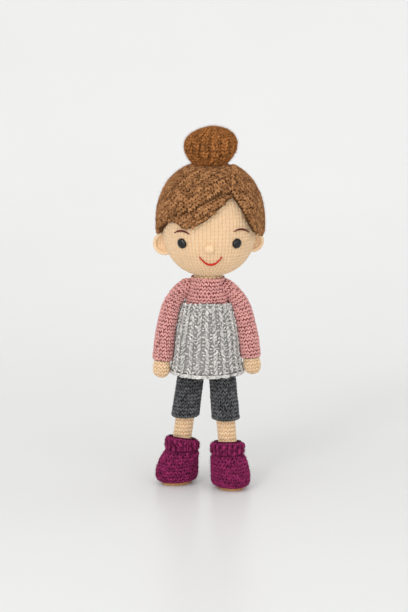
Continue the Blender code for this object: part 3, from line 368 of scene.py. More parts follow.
def arm_distance(points, sign):
    """Distance from a shoulder's middle, shorter towards the collar, where the sleeve reaches further."""
    start, after = arm_points(sign)[:2]
    head = unit(after - start)
    arm = points - start - stack(arm_shift(sign, 0), 0, 0)
    along = np.sum(arm * head, axis=-1, keepdims=True)
    arm = arm + np.where(along < 0, along * (1 / SHOULDER_REACH[sign] - 1), 0) * head
    return np.linalg.norm(arm, axis=-1)


def clear_of_arms(points):
    """Which points stay out of the places that the arms turn in."""
    room = SHOULDER_RADIUS + 0.6 * MM
    return np.all([arm_distance(points, sign) > room for sign in SIGNS.values()], axis=0)


# The head and the hair, both egg-shaped


def egg_reach(d, wide, deep, upper, lower, power):
    """How far an egg reaches from its centre along each way."""
    level = np.hypot(d[..., 0] / wide, d[..., 1] / deep)
    rise = np.abs(d[..., 2]) / np.where(d[..., 2] > 0, upper, lower)
    return (level**power + rise**power) ** (-1 / power)


def outside_head(points, more=-0.6 * MM):
    """Which points stand off the head's skin by a length at least."""
    d = points - CENTRE
    return np.linalg.norm(d, axis=-1) > egg_reach(unit(d), *HEAD_EGG) + more


def on_head(x, drop, lift):
    """Points of the face at sideways places and drops below the head's centre, and their normals."""
    x, drop = np.asarray(x, float), np.asarray(drop, float)
    tall = np.where(drop > 0, HEAD_LOWER, HEAD_UPPER) + lift
    height = np.abs(drop) / tall
    size = (1 - height**HEAD_POWER) ** (1 / HEAD_POWER)
    wide, deep = HEAD_HALF_WIDTH + lift, HEAD_HALF_DEPTH + lift
    y = -deep * size * np.sqrt(1 - (x / (wide * size)) ** 2)
    level = size ** (HEAD_POWER - 2)
    rise = -np.copysign(height ** (HEAD_POWER - 1) / tall, drop)
    return CENTRE + stack(x, y, -drop), unit(stack(level * x / wide**2, level * y / deep**2, rise))


class Crown(Surface):
    """The hair's outside, with rows that run round a tilted pole."""

    def __init__(self, pole):
        self.pole = unit(np.array(pole, float))
        self.first = unit(np.cross(self.pole, np.array([0.0, 1.0, 0.0])))
        self.second = np.cross(self.pole, self.first)
        self.mean = (HAIR_HALF_WIDTH + HAIR_HALF_DEPTH) / 2
        self.length = math.pi * self.mean

    def raw(self, u, v):
        angle, turn = (v / self.mean)[..., None], (TURN * u)[..., None]
        d = np.sin(angle) * np.cos(turn) * self.first
        d = d + np.sin(angle) * np.sin(turn) * self.second + np.cos(angle) * self.pole
        return CENTRE + d * egg_reach(d, *HAIR_EGG)[..., None]

    def out(self, u, v):
        return self.raw(u, v) - CENTRE


def hair_level(height):
    """Rise over the head's centre at height shares over the chin, and its share of the hair's own."""
    z = -HEAD_LOWER + HAIR_RISE * np.asarray(height, float)
    return z, np.minimum(np.abs(z) / np.where(z > 0, HAIR_UPPER, HAIR_LOWER), 1)


def on_hair(azimuth, height, lift):
    """Points over the hair at azimuths from the front in degrees and height shares over the chin."""
    z, share = hair_level(height)
    size = (1 - share**HAIR_POWER) ** (1 / HAIR_POWER)
    turn = np.radians(azimuth)
    arm = stack(HAIR_HALF_WIDTH * size * np.sin(turn), -HAIR_HALF_DEPTH * size * np.cos(turn), z)
    return CENTRE + arm + unit(arm) * np.asarray(lift)[..., None]


def hair_slope(height):
    z, share = hair_level(height)
    return np.arccos(np.copysign(share ** (HAIR_POWER / 2), z))


def hair_height(slope):
    c = np.cos(slope)
    z = np.copysign(np.abs(c) ** (2 / HAIR_POWER), c) * np.where(c > 0, HAIR_UPPER, HAIR_LOWER)
    return (z + HEAD_LOWER) / HAIR_RISE


def hair_spot(points):
    """Azimuth in degrees and height share of points on the hair."""
    d = points - CENTRE
    return np.degrees(np.arctan2(d[..., 0], -d[..., 1])), (d[..., 2] + HEAD_LOWER) / HAIR_RISE


# Building of meshes


def link(name, data):
    """A new object in the scene."""
    obj = bpy.data.objects.new(name, data)
    bpy.context.scene.collection.objects.link(obj)
    return obj


class Build:
    """Points and faces of one piece. Each point also has a place on its strand of yarn
    (length along it, share of the turn round it, the stitch's own number) and a painted shade, by which a
    yarn's colour is darkened where it lies deep."""

    def __init__(self):
        self.points, self.strand, self.shade, self.faces = [], [], [], []
        self.count = 0

    def add(self, points, groups, slot=STITCHES, strand=0.0, shade=1.0):
        points = points.reshape(-1, 3)
        self.points.append(points)
        self.strand.append(np.broadcast_to(strand, points.shape))
        self.shade.append(np.broadcast_to(shade, len(points)))
        self.faces += [(faces + self.count, slot) for faces in groups]
        self.count += len(points)

    def piece(self, name, materials):
        mesh = bpy.data.meshes.new(name)
        mesh.vertices.add(self.count)
        mesh.vertices.foreach_set("co", np.concatenate(self.points).astype(np.float32).ravel())
        corners = np.concatenate([faces.ravel() for faces, _slot in self.faces])
        totals = np.concatenate([np.full(len(faces), faces.shape[1]) for faces, _slot in self.faces])
        slots = np.concatenate([np.full(len(faces), slot) for faces, slot in self.faces])
        mesh.loops.add(len(corners))
        mesh.loops.foreach_set("vertex_index", corners.astype(np.int32))
        mesh.polygons.add(len(totals))
        mesh.polygons.foreach_set("loop_start", (np.cumsum(totals) - totals).astype(np.int32))
        mesh.polygons.foreach_set("material_index", slots.astype(np.int32))
        mesh.polygons.foreach_set("use_smooth", np.full(len(totals), True))
        for key, kind, field, data in (("strand", "FLOAT_VECTOR", "vector", self.strand),
                                       ("shade", "FLOAT", "value", self.shade)):
            attribute = mesh.attributes.new(key, kind, "POINT")
            attribute.data.foreach_set(field, np.concatenate(data).astype(np.float32).ravel())
        mesh.update(calc_edges=True)
        for material in materials:
            mesh.materials.append(material)
        return link(name, mesh)


def grid_faces(rows, columns, close_rows=False, close_columns=False):
    i = np.arange(rows if close_rows else rows - 1)
    j = np.arange(columns if close_columns else columns - 1)
    i, j = np.meshgrid(i, j, indexing="ij")
    i2, j2 = (i + 1) % rows, (j + 1) % columns
    corners = (i * columns + j, i * columns + j2, i2 * columns + j2, i2 * columns + j)
    return np.stack(corners, axis=-1).reshape(-1, 4)


def tube_faces(rings, sides):
    """Faces of a strand of rings, closed at both ends."""
    ends = np.array([np.arange(sides)[::-1], (rings - 1) * sides + np.arange(sides)])
    return [grid_faces(rings, sides, False, True), ends]


def copies(groups, count, size):
    """Faces of a number of copies of a form with this many points."""
    steps = (np.arange(count) * size)[:, None, None]
    return [(faces + steps).reshape(-1, faces.shape[1]) for faces in groups]


def shell(build, surface, v0, v1, outer, inner, around, along, shade=0.5):
    """The thin cloth under the stitches, closed over both of its edges, with a painted shade for a yarn
    material that reads it.
    """
    v = np.concatenate((np.linspace(v0, v1, along), np.linspace(v1, v0, along)))
    vv, uu = np.meshgrid(v, turn_shares(around), indexing="ij")
    points = surface.at(uu, vv, np.repeat((outer, inner), along)[:, None])
    build.add(points, [grid_faces(2 * along, around, True, True)], CLOTH, shade=shade)


def rings(paths, radii, normals, sides, flat):
    """Points of a strand or several, flat by a factor along the normals, and the lengths along them."""
    head = unit(np.gradient(paths, axis=-2))
    side = unit(np.cross(head, np.broadcast_to(normals, head.shape)))
    up = np.cross(side, head)
    angle = (TURN * np.arange(sides) / sides)[:, None]
    ring = side[..., None, :] * np.cos(angle) + flat * up[..., None, :] * np.sin(angle)
    return paths[..., None, :] + ring * radii[..., None, None], lengths_along(paths)


def tube(path, radii, sides=6, flat=1.0):
    """A closed strand along points (a, b, n), in millimetres: points, face groups and places on it."""
    path, radii = np.array(path, float), np.array(radii, float)
    points, lengths = rings(path, radii, (0.0, 0.0, 1.0), sides, flat)
    strand = np.stack(np.broadcast_arrays(lengths[:, None], turn_shares(sides)), axis=-1)
    return points.reshape(-1, 3), tube_faces(len(path), sides), strand.reshape(-1, 2)


def vee(width, height, thick, bulge=0.35, spread=0.44):
    """A single crochet stitch as it shows: two legs that meet at the bottom."""
    legs = []
    for sign in (-1, 1):
        reach = sign * spread * width
        path = [(reach, 0.54 * height, -0.5 * thick),
                (0.84 * reach, 0.27 * height, bulge * thick),
                (0.5 * reach, -0.08 * height, 1.1 * bulge * thick),
                (0.22 * reach, -0.4 * height, 0.2 * bulge * thick),
                (0.08 * reach, -0.58 * height, -0.8 * thick)]
        legs.append(tube(path, np.array([0.55, 1, 1, 0.85, 0.45]) * thick))
    points, groups, strands = zip(*legs)
    groups = [*groups[0], *(faces + len(points[0]) for faces in groups[1])]
    return np.concatenate(points), groups, np.concatenate(strands)


def lobe(length, thick, sides=6):
    """One plump strand along a column."""
    t = np.linspace(-0.5, 0.5, 6)
    path = np.stack((0 * t, t * length, thick * (0.4 - 4.2 * 0.4 * t**2 * 1.4)), axis=1)
    return tube(path, thick * np.array([0.35, 0.85, 1, 1, 0.85, 0.35]), sides, 0.85)


def sew(build, surface, u, v, du, dv, size, stitch, lift, seed, turn=0.0, wobble=0.04):
    """Puts a stitch at each place (u, v) of a surface. du and dv are the room of its size there."""
    points, groups, strand = stitch
    u, v, du, dv, lift, turn = (x[:, None] for x in np.broadcast_arrays(u, v, du, dv, lift, turn))
    count, m = len(u), len(points)
    rng = np.random.default_rng(seed)
    turn = turn + rng.normal(0, 2.2 * wobble, (count, 1))
    grow = 1 + rng.normal(0, wobble, (count, 1))
    a, b = points[:, 0] * grow, points[:, 1] * grow
    a, b = a * np.cos(turn) - b * np.sin(turn), a * np.sin(turn) + b * np.cos(turn)
    u = u + (a / size[0] + rng.normal(0, wobble, (count, 1))) * du
    v = v + (b / size[1] + rng.normal(0, wobble, (count, 1))) * dv
    n = points[:, 2] * MM * grow + lift + rng.normal(0, 0.05 * MM, (count, 1))
    own = rng.random(count)
    # Painted shade: 0 at each stitch's lowest point, 1 at its top, so its low parts are drawn darker
    low, high = points[:, 2].min(), points[:, 2].max()
    shade = np.tile((points[:, 2] - low) / (high - low), count)
    places = np.column_stack((np.tile(strand, (count, 1)), np.repeat(own, m)))
    build.add(surface.at(u, v, n), copies(groups, count, m), STITCHES, places, shade)


def fitting(length, width, least=4):
    """How many stitches of a width in millimetres fit on a length."""
    return max(int(round(length / (width * MM))), least)


def rounds(surface, v0, v1, size, count=None, slant=0.0, start=0.0):
    """Places of the stitches of rounds between two lengths: u, v, du and dv."""
    rows = fitting(v1 - v0, size[1], 1)
    step = (v1 - v0) / rows
    places = []
    for k in range(rows):
        v = v0 + (k + 0.5) * step
        many = count(v) if callable(count) else count or fitting(surface.girth(v), size[0])
        places.append(stack((np.arange(many) + start + slant * k) / many, v, 1 / many))
    return *np.concatenate(places).T, step


def knit(build, surface, v0, v1, size, stitch, lift, seed, count=None, keep=None, slant=0.0, start=0.0,
         turn=0.0, wobble=0.04):
    """Rounds of a stitch over a surface. keep(points) says which places have one."""
    u, v, du, dv = rounds(surface, v0, v1, size, count, slant, start)
    points = surface.raw(u, v)
    if keep is not None:
        chosen = keep(points)
        u, v, du, points = u[chosen], v[chosen], du[chosen], points[chosen]
    if callable(lift):
        lift = lift(v, points)
    sew(build, surface, u, v, du, dv, size, stitch, lift, seed, turn, wobble)


def fuzz(build, surface, count, v0, v1, length, seed, thick=0.022, keep=None, lift=0.0, tangle=0.9):
    """Loose fibres that stand off the yarn."""
    rng = np.random.default_rng(seed)
    u = rng.random(count)
    v = v0 + (v1 - v0) * rng.random(count)
    if hasattr(surface, "radius"):
        some = rng.random(count) < surface.size(v)[1] / surface.radius.max()
        u, v = u[some], v[some]
    base = surface.at(u, v, lift)
    if keep is not None:
        chosen = keep(base)
        u, v, base = u[chosen], v[chosen], base[chosen]
    normal = surface.normal(u, v)
    many = len(u)
    first = unit(normal + tangle * rng.normal(0, 0.8, (many, 3)))
    second = unit(first + 0.9 * rng.normal(0, 0.6, (many, 3)))
    third = unit(second + 0.9 * rng.normal(0, 0.6, (many, 3)) + 0.25 * normal)
    reach = length * MM * (0.45 + 0.9 * rng.random((many, 1)))
    bends = (base, first * reach * 0.36, second * reach * 0.34, third * reach * 0.3)
    path = np.cumsum(np.stack(bends, axis=1), axis=1)
    side = unit(np.cross(first, rng.normal(0, 1, (many, 3))))
    up = unit(np.cross(first, side))
    widths = np.array([1, 0.9, 0.65, 0.3])[:, None, None] * thick * MM
    angle = (TURN * np.arange(3) / 3)[:, None]
    ring = side[:, None] * np.cos(angle) + up[:, None] * np.sin(angle)
    points = path[:, :, None] + ring[:, None] * widths
    places = np.zeros((12 * many, 3))
    places[:, 2] = np.repeat(rng.random(many), 12)
    build.add(points, copies([grid_faces(4, 3, False, True)], many, 12), FIBRES, places)


def ropes(build, paths, radii, normals, sides=6, seed=3, flat=1.0, shade=1.0):
    """Closed strands along given paths (count, points, 3), with the cloth's normal at each."""
    paths = np.asarray(paths, float)
    count, many = paths.shape[:2]
    points, lengths = rings(paths, np.broadcast_to(radii, (count, many)), normals, sides, flat)
    own = np.random.default_rng(seed).random((count, 1, 1))
    strand = stack(lengths[:, :, None] / MM, turn_shares(sides), own).reshape(-1, 3)
    shade = np.repeat(np.broadcast_to(shade, (count, many)), sides)
    build.add(points, copies(tube_faces(many, sides), count, many * sides), STITCHES, strand, shade)


# Materials


class Look:
    """A material, and short ways to build its nodes."""

    def __init__(self, name, roughness, **sockets):
        self.material = bpy.data.materials.new(name)
        self.material.use_nodes = True
        self.tree = self.material.node_tree
        self.shader = self.tree.nodes["Principled BSDF"]
        self.put(self.shader, Roughness=roughness, **sockets)

    def fill(self, sockets, values):
        """Gives each socket its number, its colour or its link from another node."""
        for socket, value in zip(sockets, values):
            if isinstance(value, (int, float)):
                socket.default_value = value
            elif isinstance(value, tuple):
                socket.default_value = (*value, 1)
            else:
                self.tree.links.new(value, socket)

    def put(self, node, **values):
        """Fills sockets by name, with _ for a space."""
        self.fill([node.inputs[key.replace("_", " ")] for key in values], values.values())

    def node(self, kind, *values):
        """A new node, with values for its first sockets."""
        node = self.tree.nodes.new(f"ShaderNode{kind}")
        self.fill(node.inputs, values)
        return node

    def math(self, operation, *values):
        node = self.node("Math", *values)
        node.operation = operation
        return node.outputs[0]

    def mix(self, factor, a, b, blend="MIX"):
        node = self.node("Mix")
        node.data_type = "RGBA"
        node.blend_type = blend
        self.fill([node.inputs[k] for k in (0, 6, 7)], (factor, a, b))
        return node.outputs[2]

    def ramp(self, factor, *stops):
        node = self.node("ValToRGB", factor)
        elements = node.color_ramp.elements
        while len(elements) < len(stops):
            elements.new(0.5)
        for element, (place, colour) in zip(elements, stops):
            element.position = place
            element.color = (*colour, 1)
        return node.outputs[0]

    def noise(self, scale, detail=3.0, place=None):
        """Noise at a place, or over the piece in its own space."""
        place = place or self.node("TexCoord").outputs["Object"]
        node = self.node("TexNoise")
        self.put(node, Vector=place, Scale=scale, Detail=detail, Roughness=0.6)
        return node.outputs["Fac"]

    def attribute(self, name, output):
        node = self.node("Attribute")
        node.attribute_name = name
        return node.outputs[output]

    def done(self, colour, height, strength, distance):
        """The material with its colour and a relief of this strength over a distance in millimetres."""
        relief = self.node("Bump")
        self.put(relief, Height=height, Strength=strength, Distance=distance * MM)
        self.put(self.shader, Base_Color=colour, Normal=relief.outputs[0])
        return self.material


def yarn(name, dark, mid, light, contrast=0.5, melange=0.35, fleck=None, depth=0.45, bump=0.5, sheen=0.35,
         patch=260.0):
    """Spun yarn: plies that twist along each strand, fibres, and painted shade that darkens it where it lies
    low between the stitches and in the grooves of its plies.
    """
    look = Look(name, 0.88, Specular_IOR_Level=0.18, Sheen_Weight=sheen, Sheen_Roughness=0.45,
                Sheen_Tint=light)
    along, turn, own = look.node("SeparateXYZ", look.attribute("strand", "Vector")).outputs
    phase = look.math("MULTIPLY_ADD", along, PLY_TWIST, look.math("MULTIPLY", turn, PLIES))
    ply = look.math("MULTIPLY_ADD", look.math("SINE", look.math("MULTIPLY", phase, TURN)), 0.5, 0.5)
    spot = look.node("CombineXYZ", *(look.math("MULTIPLY", value, scale) for value, scale in
                                     zip((along, turn, own), (0.8, 9.0, 37.0)))).outputs[0]
    fibres = look.noise(2.2, place=spot)
    patches = look.noise(patch, 2.0)
    tone = look.math("MULTIPLY_ADD", own, melange, look.math("MULTIPLY", patches, 1 - melange))
    tone = look.math("MULTIPLY_ADD", look.math("SUBTRACT", fibres, 0.5), contrast, tone)
    colour = look.ramp(tone, (0.18, dark), (0.5, mid), (0.78, light))
    if fleck is not None:
        chosen = look.ramp(look.noise(4.5, 1.0, spot), (0.6, (0, 0, 0)), (0.68, (1, 1, 1)))
        colour = look.mix(chosen, colour, fleck)
    # Painted shade: the shade attribute darkens the colour by up to depth where the yarn lies low, and the
    # grooves of the twist darken it a little more
    deep = look.math("MULTIPLY_ADD", look.attribute("shade", "Fac"), depth, 1 - depth)
    deep = look.math("MULTIPLY", deep, look.math("MULTIPLY_ADD", ply, 0.22, 0.82))
    colour = look.mix(1.0, colour, look.node("CombineXYZ", deep, deep, deep).outputs[0], "MULTIPLY")
    return look.done(colour, look.math("MULTIPLY_ADD", fibres, 0.6, ply), bump, 0.12)


def plain(name, dark, light, roughness, scale=400.0, bump=0.1, stops=(0.35, 0.65), distance=0.1, **sockets):
    """A solid material with fine mottling and grain."""
    look = Look(name, roughness, **sockets)
    grain = look.noise(scale, 4.0)
    return look.done(look.ramp(grain, *zip(stops, (dark, light))), grain, bump, distance)


def ground(name, dark, light, scale=900.0):
    """The cloth seen between stitches, or a filling. For the knitted pieces its colours are darker than the
    yarn's: painted shade in the holes between stitches.
    """
    return plain(name, dark, light, 0.95, scale, 0.6, (0.3, 0.75), 0.2, Specular_IOR_Level=0.1)


def shades(colour, *factors):
    return [tuple(min(c * f, 1.0) for c in colour) for f in factors]


def knitted(name, yarn_colours, hole_shade_colours, **values):
    """Materials of a knitted piece, in the order of their places; the cloth's colours are painted shade for
    the holes between stitches.
    """
    top = yarn(f"{name}_yarn", *yarn_colours, **values)
    return [top, ground(f"{name}_ground", *hole_shade_colours), top]


# The second colours of each set, darker than the yarn, are painted shade seen in the holes between stitches;
# depth is how far painted shade darkens the low parts of the stitches
SKIN_SET = knitted("skin", shades(SKIN, 0.86, 0.98, 1.06), ((0.6, 0.34, 0.16), (0.76, 0.48, 0.25)),
                   depth=0.38, contrast=0.35, melange=0.15, bump=0.35, sheen=0.6)
FACE_SET = knitted("face", shades(SKIN, 0.84, 0.93, 1.0), ((0.68, 0.42, 0.22), (0.78, 0.51, 0.29)),
                   depth=0.2, contrast=0.3, melange=0.15, bump=0.3, sheen=0.9)
EAR_SET = [yarn("ear_yarn", *shades(SKIN, 0.97, 1.04, 1.09), depth=0.06, contrast=0.15, melange=0.1, bump=0.2,
                sheen=0.9)] * 3
HAIR_SET = knitted("hair", ((0.15, 0.063, 0.023), (0.345, 0.152, 0.055), (0.58, 0.29, 0.125)),
                   shades(HAIR, 0.12, 0.5), depth=0.5, contrast=1.3, melange=0.4, patch=620.0)
BUN_SET = knitted("bun", shades(BUN, 0.45, 1.15, 1.9), shades(BUN, 0.2, 0.7), depth=0.65, contrast=1.0,
                  melange=0.35, patch=500.0)
ROSE_SET = knitted("rose", shades(ROSE, 0.78, 1.0, 1.16), ((0.15, 0.028, 0.028), (0.3, 0.08, 0.075)),
                   depth=0.74, contrast=0.5, melange=0.25)
GREY_SET = knitted("grey", shades(GREY, 0.7, 1.02, 1.22), shades(GREY, 0.3, 0.56), depth=0.5, contrast=1.0,
                   melange=0.4, fleck=(0.36, 0.35, 0.34))
CHARCOAL_SET = knitted("charcoal", shades(CHARCOAL, 0.46, 1.12, 2.1), shades(CHARCOAL, 0.1, 0.3), depth=1.0,
                       contrast=0.5, melange=0.35, patch=700.0)
PLUM_SET = knitted("plum", shades(PLUM, 0.5, 1.0, 1.6), shades(PLUM, 0.12, 0.4), depth=0.75, contrast=0.6,
                   melange=0.3, patch=420.0)
mouth_thread = yarn("mouth_thread", *shades((0.66, 0.035, 0.018), 0.8, 1.0, 1.2), depth=0.1, contrast=0.2)
brow_thread = yarn("brow_thread", *shades((0.15, 0.022, 0.018), 0.8, 1.0, 1.3), depth=0.1, contrast=0.2)
fibre_fill = ground("fibre_fill", (0.62, 0.62, 0.6), (0.88, 0.88, 0.86), 300.0)
eye_plastic = plain("black_eye", (0.002, 0.002, 0.0025), (0.004, 0.004, 0.005), 0.05, bump=0.0,
                    Specular_IOR_Level=0.42)
sole_leather = plain("tan_sole", (0.42, 0.2, 0.07), (0.66, 0.36, 0.14), 0.72, 700.0, 0.5)
washer_plastic = plain("washer_plastic", (0.7, 0.7, 0.67), (0.8, 0.8, 0.77), 0.45, 300.0, 0.05)
core_wood = plain("core_wood", (0.48, 0.32, 0.18), (0.68, 0.5, 0.31), 0.7, 250.0, 0.3)
insole_board = plain("insole_board", (0.4, 0.33, 0.24), (0.56, 0.47, 0.36), 0.85, 600.0, 0.3)
joint_thread = plain("joint_thread", (0.7, 0.68, 0.62), (0.85, 0.83, 0.77), 0.8, 900.0, 0.5)


def finish_piece(build, name, materials, body, nodes):
    obj = build.piece(name, materials)
    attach(obj, body)
    if nodes:
        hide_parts(*nodes)
    return obj


def turned_piece(name, outline, place, material, body, nodes, around):
    """A solid of rings along an outline, closed at both ends."""
    build = Build()
    station, radius = np.array(outline, float).T[:, :, None]
    points = place(station, np.maximum(radius, 0.02 * MM), TURN * turn_shares(around))
    build.add(points, tube_faces(len(station), around))
    finish_piece(build, name, [material], body, nodes)


# Torso and skirt


def make_bodice():
    chest = Surface(outline_of(TORSO_SHARES, TORSO_Z, TORSO_HEIGHT, TORSO_HALF_WIDTH),
                    oval(torso_axis, TORSO_DEPTH_SHARES, TORSO_Z, TORSO_HEIGHT))
    build = Build()
    shell(build, chest, 0.2 * MM, chest.length - 0.2 * MM, -0.55 * MM, -1.5 * MM, 120, 60)
    points = build.points[-1]
    middle = stack(np.interp(points[:, 2], (TORSO_Z, COLLAR_Z), (BODY_X, NECK_X)), 0, points[:, 2])
    room = SHOULDER_RADIUS + 0.35 * MM
    for sign in SIGNS.values():
        push = 0.45 * MM * unit(middle - points)
        near = arm_distance(points, sign) < room
        for _step in range(14):
            points[near] += push[near]
            near = near & (arm_distance(points, sign) < room)
    knit(build, chest, 0.1 * MM, chest.length - 0.3 * MM, (2.45, 2.4), vee(2.45, 2.2, 0.58, 0.5, 0.42),
         -0.4 * MM, seed=11, count=lambda v: 2 * fitting(chest.girth(v), 4.9),
         keep=lambda p: clear_of_arms(p) & (p[:, 2] > SKIRT_TOP_Z - 3 * MM), wobble=0.06)
    collar = 34
    u = turn_shares(collar)
    sew(build, chest, u, chest.length - 0.35 * MM, 1 / collar, 2.4 * MM, (2.1, 2.4), lobe(2.6, 0.62),
        (-0.8 - 0.7 * np.cos(TURN * u)) * MM, seed=13, turn=1.25, wobble=0.05)
    fuzz(build, chest, 1600, chest.length * 0.6, chest.length, 1.2, seed=12, keep=clear_of_arms)
    finish_piece(build, "rose_bodice", ROSE_SET, "torso", ["bodice"])


skirt_height = SKIRT_TOP_Z - SKIRT_Z
skirt_rings = oval(body_axis, SKIRT_DEPTH_SHARES, SKIRT_Z, skirt_height)


def skirt_place(station, radius, angle):
    """The skirt's places, with a top that hangs lower under the arms."""
    share = np.clip((np.asarray(station) - SKIRT_Z) / skirt_height, 0, 1)
    return skirt_rings(station, radius, angle) - stack(0, 0, SKIRT_DIP * share**3 * np.cos(angle) ** 2)


def skirt_flare(v):
    """How far the gathered top of the skirt stands out."""
    return 0.8 * MM * np.exp(-(v / (8 * MM)) ** 2)


def make_skirt():
    outline = outline_of(SKIRT_SHARES, SKIRT_Z, skirt_height, SKIRT_HALF_WIDTH)[::-1]
    skin = Surface(outline, skirt_place)
    cloth = Build()
    around, along = SKIRT_RIBS * 8, 40
    v = np.linspace(0.1 * MM, skin.length - 0.1 * MM, along)
    vv, uu = np.meshgrid(np.concatenate((v, v[::-1])), turn_shares(around), indexing="ij")
    ribs = 0.3 * MM * np.cos(TURN * SKIRT_RIBS * uu)
    outside = (np.arange(2 * along) < along)[:, None]
    nn = np.where(outside, -1.25 * MM + ribs, -1.95 * MM + 0.4 * ribs) + skirt_flare(vv)
    cloth.add(skin.at(uu, vv, nn), [grid_faces(2 * along, around, True, True)], shade=0.5)
    cloth_piece = finish_piece(cloth, "skirt_cloth", GREY_SET[CLOTH:FIBRES], "torso", ["skirt"])

    cables = Build()
    rng = np.random.default_rng(21)
    pitch, reach, rise, step = 5.2 * MM, 0.95 * MM, 0.45 * MM, 1.75 * MM
    starts = np.arange(0.7 * MM, skin.length + 0.2 * MM, step)
    shift = rng.uniform(-0.5, 0.5, SKIRT_RIBS)
    lean = rng.normal(0, 0.3, (SKIRT_RIBS, 2))
    paths, normals, heights = [], [], []
    t = np.linspace(-0.5, 0.5, 6)
    for k in range(SKIRT_RIBS):
        twist = 1 if k % 2 else -1
        for side in (0, 1):
            for v in starts:
                own = v + rng.normal(0, 0.3 * MM) + t * rng.uniform(2.0, 3.3) * MM
                phase = math.pi * (2 * own / pitch * twist + side + shift[k] + rng.normal(0, 0.16))
                share = own / skin.length
                a = reach * (0.8 + 0.35 * share) * np.cos(phase)
                a = a + rng.normal(0, 0.2 * MM) + t * rng.normal(0, 0.5 * MM)
                a = a + MM * (lean[k, 0] * np.sin(7 * share) + lean[k, 1] * share)
                n = -0.4 * MM + rise * np.sin(phase) - 2.6 * t**2 * MM + rng.normal(0, 0.16 * MM)
                u = k / SKIRT_RIBS + a / skin.girth(v)
                paths.append(skin.at(u, own, n + skirt_flare(own)))
                normals.append(skin.normal(u, own))
                # Painted shade: strands that lie lower in the twist get a darker shade
                heights.append(np.clip((n / MM + 1.2) / 1.3, 0, 1))
    thick = 0.72 * MM * np.array([0.4, 0.9, 1, 1, 0.9, 0.4]) * rng.uniform(0.74, 1.16, (len(paths), 1))
    ropes(cables, paths, thick, normals, seed=22, flat=0.9, shade=heights)
    u, v, _du, dv = rounds(skin, 0.3 * MM, skin.length, (2.3, 2.3), SKIRT_RIBS, start=0.5)
    bump = tube([(-1.1, 0, -0.5), (-0.5, 0.05, 0.1), (0.5, -0.05, 0.1), (1.1, 0, -0.5)],
                [0.34, 0.56, 0.56, 0.34])
    sew(cables, skin, u, v, 2.3 * MM / (TURN * SKIRT_HALF_WIDTH * 0.85), dv, (2.3, 2.3), bump,
        -0.85 * MM + skirt_flare(v), seed=23, wobble=0.2)
    fuzz(cables, skin, 6000, 0, skin.length, 1.6, seed=24, lift=-0.2 * MM)
    cable_piece = finish_piece(cables, "skirt_cables", GREY_SET, "torso", [])

    hem = Build()
    ring = Surface(((HEM_Z + HEM_HEIGHT + 0.3 * MM, SKIRT_HALF_WIDTH + 0.1 * MM),
                    (HEM_Z + HEM_HEIGHT / 2, SKIRT_HALF_WIDTH + 0.4 * MM),
                    (HEM_Z - 0.1 * MM, SKIRT_HALF_WIDTH)), skirt_place)
    shell(hem, ring, 0, ring.length, -0.9 * MM, -1.7 * MM, 160, 4)
    braid = 46
    sew(hem, ring, turn_shares(braid), ring.length * 0.5, 1 / braid, ring.length, (2.9, 2.2),
        vee(1.9, 3.6, 0.62, 0.5), -0.25 * MM, seed=25, turn=math.pi / 2, wobble=0.12)
    fuzz(hem, ring, 1200, 0, ring.length, 1.4, seed=26)
    hem_piece = finish_piece(hem, "skirt_hem_braid", GREY_SET, "torso", ["skirt_hem"])
    top, bottom = skin.girth(0.1 * MM), skin.girth(skin.length)


# Arms


def make_arm(side):
    sign = SIGNS[side]
    place, length = arm_place(sign)
    a = np.linspace(0.06, math.pi / 2, 14)[:-1]
    cap = SHOULDER_RADIUS + 0.15 * MM
    dome = np.stack((-SHOULDER_REACH[sign] * cap * np.cos(a), cap * np.sin(a)), axis=1)
    sleeve_end = SLEEVE_SHARES[-1][0]
    limb = outline_of(SLEEVE_SHARES, 0, length, ARM_RADIUS, 70)
    limb[:, 1] += SLEEVE_SWELL * np.exp(-((np.linspace(0, sleeve_end, 70) - 0.27) / 0.22) ** 2)
    sleeve = Surface(np.concatenate((dome, limb)), place)
    build = Build()
    shell(build, sleeve, 0, sleeve.length, -0.6 * MM, -1.25 * MM, 48, 50)
    knit(build, sleeve, 1.2 * MM, sleeve.length, (2.5, 2.4), vee(2.5, 2.2, 0.58, 0.5, 0.42), -0.5 * MM,
         seed=31 + sign, slant=0.06, wobble=0.06,
         count=lambda v: 16 if v > 8 * MM else max(int(sleeve.girth(v) / (2.45 * MM)), 6))
    fuzz(build, sleeve, 1600, 6 * MM, sleeve.length, 1.2, seed=33 + sign)
    finish_piece(build, f"{side}_sleeve_knit", ROSE_SET, f"{side}_arm", [f"{side}_sleeve"])

    wrist = length * sleeve_end + GAP
    hand = Surface(outline_of(HAND_SHARES, wrist, length - wrist, HAND_RADIUS, 40, (0, 0.995)), place)
    build = Build()
    shell(build, hand, 0, hand.length - 0.3 * MM, -0.5 * MM, -1.2 * MM, 40, 20)
    knit(build, hand, -0.4 * MM, hand.length - 0.2 * MM, (2.5, 2.5), vee(2.5, 2.5, 0.58), -0.45 * MM,
         seed=35 + sign, count=lambda v: fitting(hand.girth(min(v, hand.length * 0.9)), 2.6, 5))
    fuzz(build, hand, 160, 0, hand.length, 1.0, seed=37 + sign)
    finish_piece(build, f"{side}_hand_knit", SKIN_SET, f"{side}_arm", [f"{side}_hand"])


# Legs, trousers and boots


